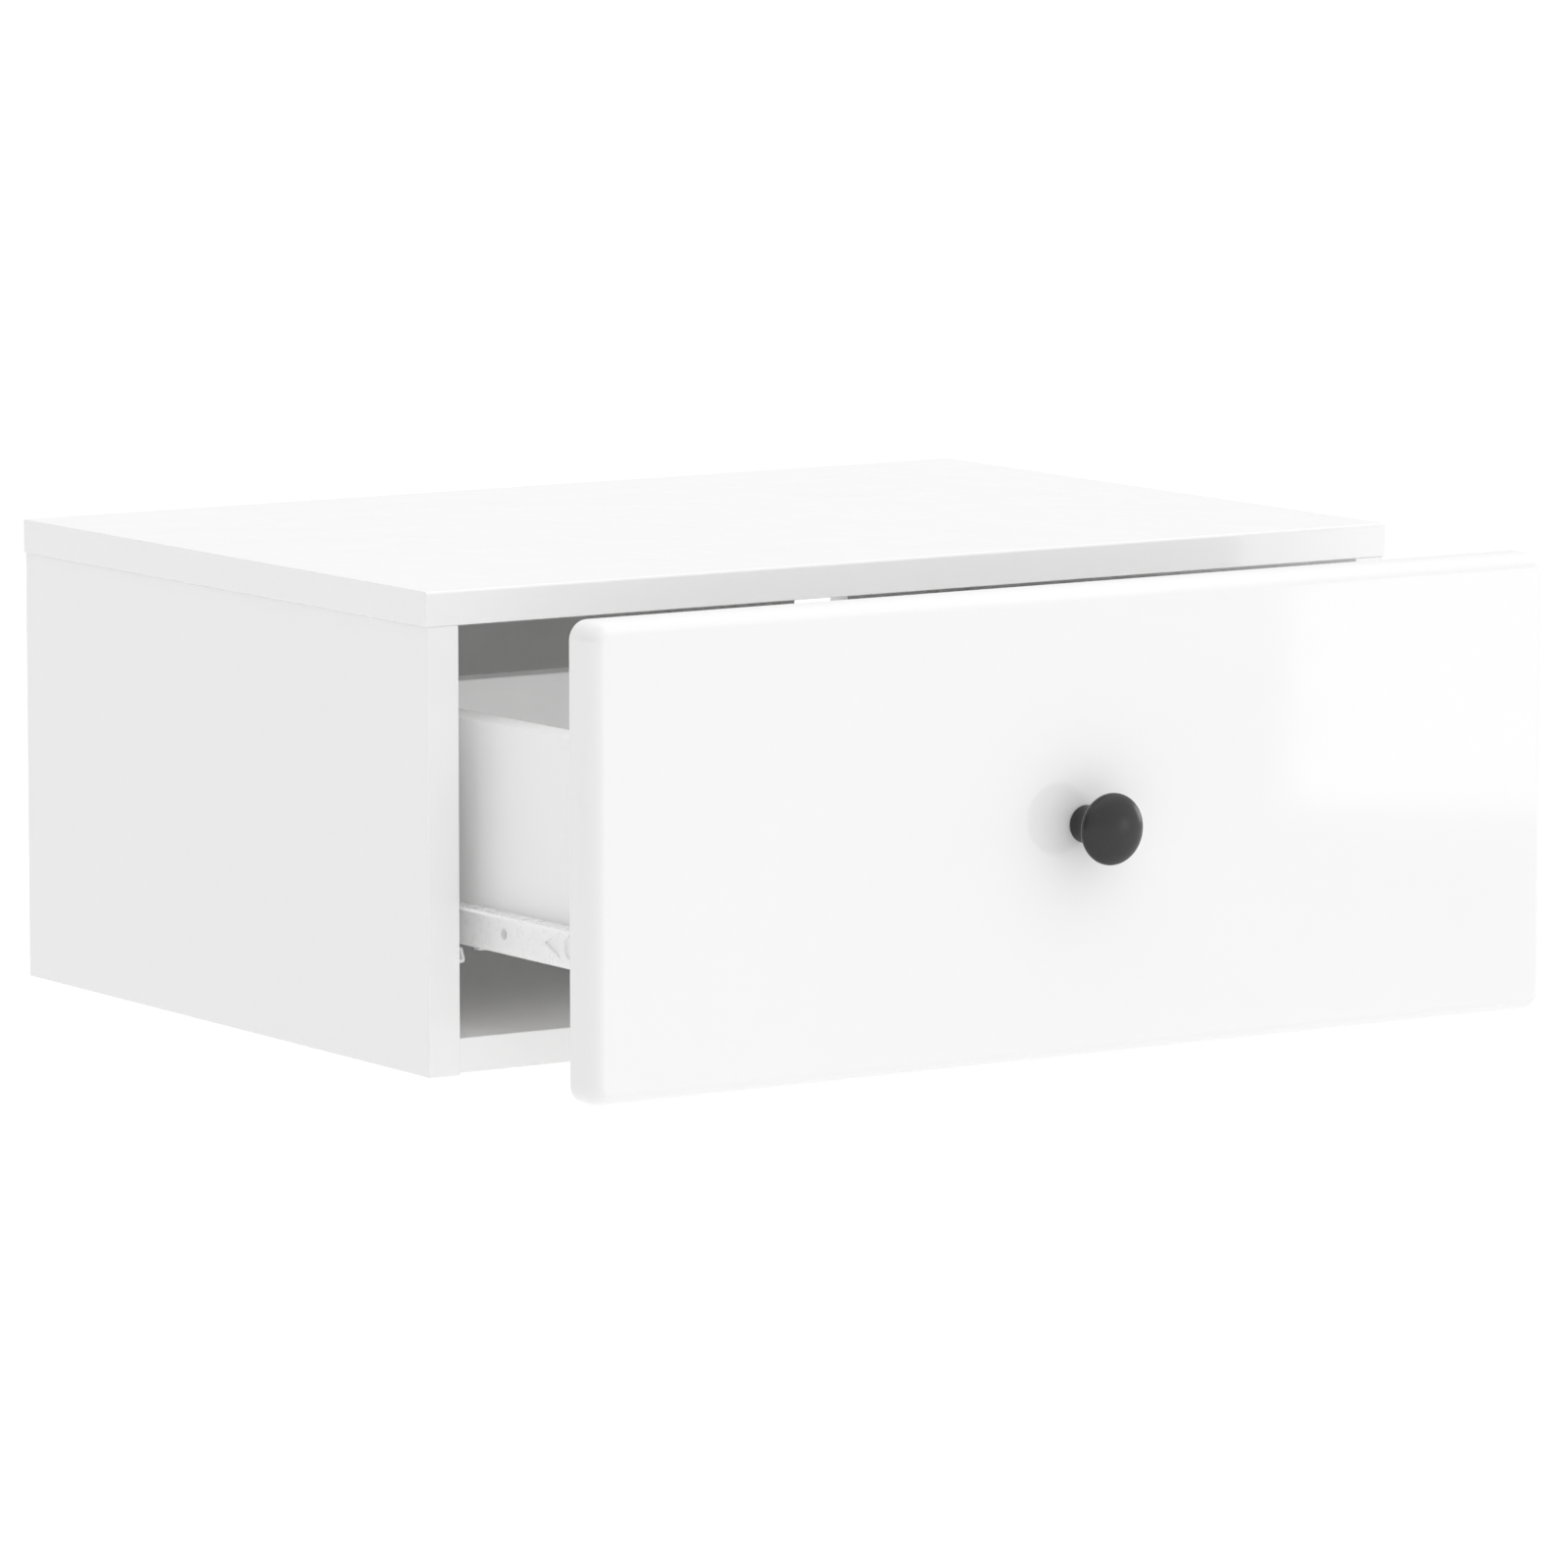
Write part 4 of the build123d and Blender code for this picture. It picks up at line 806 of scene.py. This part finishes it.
wedge = solid("cutter", prism([(-334.7, -99.5), (-334.7, -92.0), (-330.6, -92.0), (-334.1, -99.5)],
                              lambda a, b, t: (t, a, b), -229.0, -222.0))
cuts = [wedge, drill(-233.4, -320.0, -83.1, 2.02)]
cuts += [drill(-233.4, y, -88.0, 3.32) for y in (-337.0, -241.0, -145.0)]
combine(fixed, cuts, "DIFFERENCE")
soften(fixed, 0.16)
smooth(fixed, angle=40)
twin = smooth(mirror_x(fixed, "right_cabinet_runner_steel"), angle=40)
dress(fixed, "carcass", [RUNNER_MAT], ["left_cabinet_runner"])
dress(twin, "carcass", [RUNNER_MAT], ["right_cabinet_runner"])

# =====================================================================================
# Rollers: moulded tyres with a rounded tread, a dished face and a hub
# =====================================================================================
ROLL = ([(2.06, 0.0), (2.06, 6.6), (2.3, 6.62 - 0.02), (4.1, 6.6), (4.2, 6.5), (4.35, 5.75), (4.6, 5.6), (6.2, 5.6), (6.45, 5.75), (6.6, 6.5), (6.75, 6.6)]
        + [(7.6 + 0.9 * math.sin(math.radians(t)), 5.7 + 0.9 * math.cos(math.radians(t))) for t in (0, 22.5, 45, 67.5, 90)]
        + [(8.5, 4.2), (8.5, 2.4)]
        + [(7.6 + 0.9 * math.cos(math.radians(t)), 0.9 - 0.9 * math.sin(math.radians(t))) for t in (0, 22.5, 45, 67.5, 90)]
        + [(5.0, 0.0)])
for s, side in ((-1, "left"), (1, "right")):
    o = smooth(solid("%s_front_wheel" % side, lathe(ROLL, (s * 231.6, -320.0, -83.1), (-s, 0, 0), 72)), angle=45)
    dress(o, "%s_front_roller_body" % side, [NYLON_MAT], ["%s_front_roller" % side])
    o = smooth(solid("%s_rear_wheel" % side, lathe(ROLL, (s * 225.0, -213.0, -88.7), (s, 0, 0), 72)), angle=45)
    dress(o, "%s_rear_roller_body" % side, [NYLON_MAT], ["%s_rear_roller" % side])

# =====================================================================================
# Knob
# =====================================================================================
outline = curve_through([(7.7, 0.0), (8.1, 0.4), (7.75, 2.4), (7.25, 5.0), (7.15, 7.6), (7.55, 10.2), (8.8, 12.9), (10.6, 14.6),
                         (12.6, 16.2), (14.3, 17.6), (15.2, 18.9), (15.45, 20.0), (15.15, 21.15), (14.3, 22.1), (12.4, 23.25),
                         (9.6, 24.2), (6.2, 24.95), (3.0, 25.35)], 5)
o = smooth(solid("knob_turned", lathe([(0, 0)] + outline + [(0, 25.5)], (0, FACE_Y, FRONT_MID_Z), (0, -1, 0), 128)), angle=60)
dress(o, "drawer", [KNOB_MAT], ["knob"])

# =====================================================================================
# CAD nodes that stay, with their finishes
# =====================================================================================
for name, mat in {
    "cabinet_dowels": BEECH_MAT, "drawer_dowels": BEECH_MAT,
    "cabinet_cam_bolts": ZINC_MAT, "drawer_cam_bolts": ZINC_MAT,
    "cabinet_cam_locks": CAST_MAT, "drawer_cam_locks": CAST_MAT,
    "cabinet_runner_screws": ZINC_MAT, "drawer_runner_screws": ZINC_MAT,
    "drawer_back_screws": ZINC_MAT, "drawer_bottom_screws": ZINC_MAT,
    "front_roller_pins": ZINC_MAT, "rear_roller_pins": ZINC_MAT,
    "knob_screw": ZINC_MAT,
}.items():
    CAD[name].data.materials.clear()
    CAD[name].data.materials.append(mat)

# =====================================================================================
# Studio: pale floor, soft lights, camera
# =====================================================================================
scene = bpy.context.scene
scene.view_settings.view_transform = "Standard"
scene.view_settings.look = "None"
# White boards light each other many times over inside the carcass.
scene.cycles.max_bounces = 20
scene.cycles.diffuse_bounces = 16
scene.cycles.glossy_bounces = 8

FLOOR_Z = -0.72
bm = bmesh.new()
bmesh.ops.create_grid(bm, x_segments=4, y_segments=4, size=60.0)
floor = link("floor", bm, 1.0)
floor.location = (0, 0, FLOOR_Z)
n = Nodes("floor_pale")
n.colour(n.ramp(n.noise(0.8, 2.0, 0.5), (0.3, (0.80, 0.80, 0.80)), (0.7, (0.815, 0.815, 0.815))))
n.set(Roughness=0.9, Emission_Color=(1, 1, 1, 1), Emission_Strength=0.17)
floor.data.materials.append(n.mat)

world = bpy.data.worlds.new("studio")
scene.world = world
world.use_nodes = True
wt = world.node_tree
wt.nodes.clear()
out = wt.nodes.new("ShaderNodeOutputWorld")
bg = wt.nodes.new("ShaderNodeBackground")
coord = wt.nodes.new("ShaderNodeTexCoord")
wt.links.new(bg.outputs[0], out.inputs["Surface"])


def direction(az, el):
    """Azimuth from straight in front towards the right, elevation above the horizon, in degrees."""
    a, e = math.radians(az), math.radians(el)
    return (math.sin(a) * math.cos(e), -math.cos(a) * math.cos(e), math.sin(e))


# Brightness of the dome, in rows from the horizon up. Each row runs right round from straight behind,
# by the left, the front and the right, in equal steps.
DOME_ELEVATIONS = (0.0, 25.0, 55.0, 90.0)
DOME = [
    [0.87, 0.76, 0.51, 0.36, 0.56, 0.83, 0.87, 0.93, 1.04, 1.04, 0.99, 0.90],
    [0.91, 0.79, 0.49, 0.31, 0.56, 0.88, 0.98, 1.08, 1.15, 1.09, 1.03, 0.96],
    [1.30, 1.12, 1.16, 1.45, 1.55, 1.39],
    [0.99],
]
LARGEST = 8.0                            # the ramps hold shares of this


def math_node(operation, a, b=None):
    n = wt.nodes.new("ShaderNodeMath")
    n.operation = operation
    for sock, v in zip(n.inputs, (a, b)):
        if v is None:
            continue
        if isinstance(v, (int, float)):
            sock.default_value = v
        else:
            wt.links.new(v, sock)
    return n.outputs[0]


split = wt.nodes.new("ShaderNodeSeparateXYZ")
wt.links.new(coord.outputs["Generated"], split.inputs[0])
turn = math_node("ARCTAN2", split.outputs["X"], math_node("MULTIPLY", split.outputs["Y"], -1.0))
turn = math_node("ADD", math_node("DIVIDE", turn, 2 * math.pi), 0.5)
rise = math_node("MULTIPLY", math_node("ARCSINE", split.outputs["Z"]), 180 / math.pi)

ramps = []
for row in DOME:
    ramp = wt.nodes.new("ShaderNodeValToRGB")
    ramp.color_ramp.interpolation = "EASE"
    for i in range(len(row) - 1):
        ramp.color_ramp.elements.new((i + 1) / len(row))
    wt.links.new(turn, ramp.inputs["Fac"])
    ramps.append(ramp)


def set_dome(table):
    """Writes the dome's brightness into its ramps; the last stop repeats the first, straight behind."""
    for ramp, row in zip(ramps, table):
        for i, e in enumerate(ramp.color_ramp.elements):
            v = row[i % len(row)] / LARGEST
            e.position, e.color = i / len(row), (v, v, v, 1)


set_dome(DOME)
level = ramps[0].outputs["Color"]
for ramp, lower, upper in zip(ramps[1:], DOME_ELEVATIONS, DOME_ELEVATIONS[1:]):
    step = wt.nodes.new("ShaderNodeMapRange")
    step.interpolation_type = "SMOOTHSTEP"
    step.inputs["From Min"].default_value, step.inputs["From Max"].default_value = lower, upper
    wt.links.new(rise, step.inputs["Value"])
    blend = wt.nodes.new("ShaderNodeMix")
    blend.data_type = "RGBA"
    wt.links.new(step.outputs["Result"], blend.inputs["Factor"])
    wt.links.new(level, blend.inputs[6])
    wt.links.new(ramp.outputs["Color"], blend.inputs[7])
    level = blend.outputs[2]
wt.links.new(level, bg.inputs["Color"])
bg.inputs["Strength"].default_value = LARGEST


def softbox(name, az0, az1, el0, el1, distance, radiance, centre=(0.0, -0.35, -0.04)):
    """A rectangular soft light that covers those directions as seen from centre."""
    az, el = (az0 + az1) / 2, (el0 + el1) / 2
    d = Vector(direction(az, el))
    width = 2 * distance * math.tan(math.radians((az1 - az0) / 2))
    height = 2 * distance * math.tan(math.radians((el1 - el0) / 2))
    data = bpy.data.lights.new(name, "AREA")
    data.shape = "RECTANGLE"
    data.size, data.size_y = width, height
    data.energy = radiance * math.pi * width * height
    obj = bpy.data.objects.new(name, data)
    obj.location = Vector(centre) + d * distance
    obj.rotation_mode = "QUATERNION"
    obj.rotation_quaternion = d.to_track_quat("Z", "Y")
    obj.visible_camera = False
    scene.collection.objects.link(obj)
    return obj


softbox("key", 36.4, 46.0, -7.4, 2.5, 4.0, 1.1)
softbox("rim", 74.0, 94.0, -2.0, 14.0, 4.0, 2.0)

camera_data = bpy.data.cameras.new("camera")
camera_data.sensor_width = 36.0
camera_data.lens = 233.846
camera_data.clip_start, camera_data.clip_end = 0.1, 200.0
camera = bpy.data.objects.new("camera", camera_data)
camera.location = (-2.45282, -3.97310, 0.54246)
yaw, pitch = math.radians(33.2991), math.radians(7.5431)
look = Vector((math.sin(yaw) * math.cos(pitch), math.cos(yaw) * math.cos(pitch), -math.sin(pitch)))
camera.rotation_mode = "QUATERNION"
camera.rotation_quaternion = look.to_track_quat("-Z", "Y")
scene.collection.objects.link(camera)
scene.camera = camera
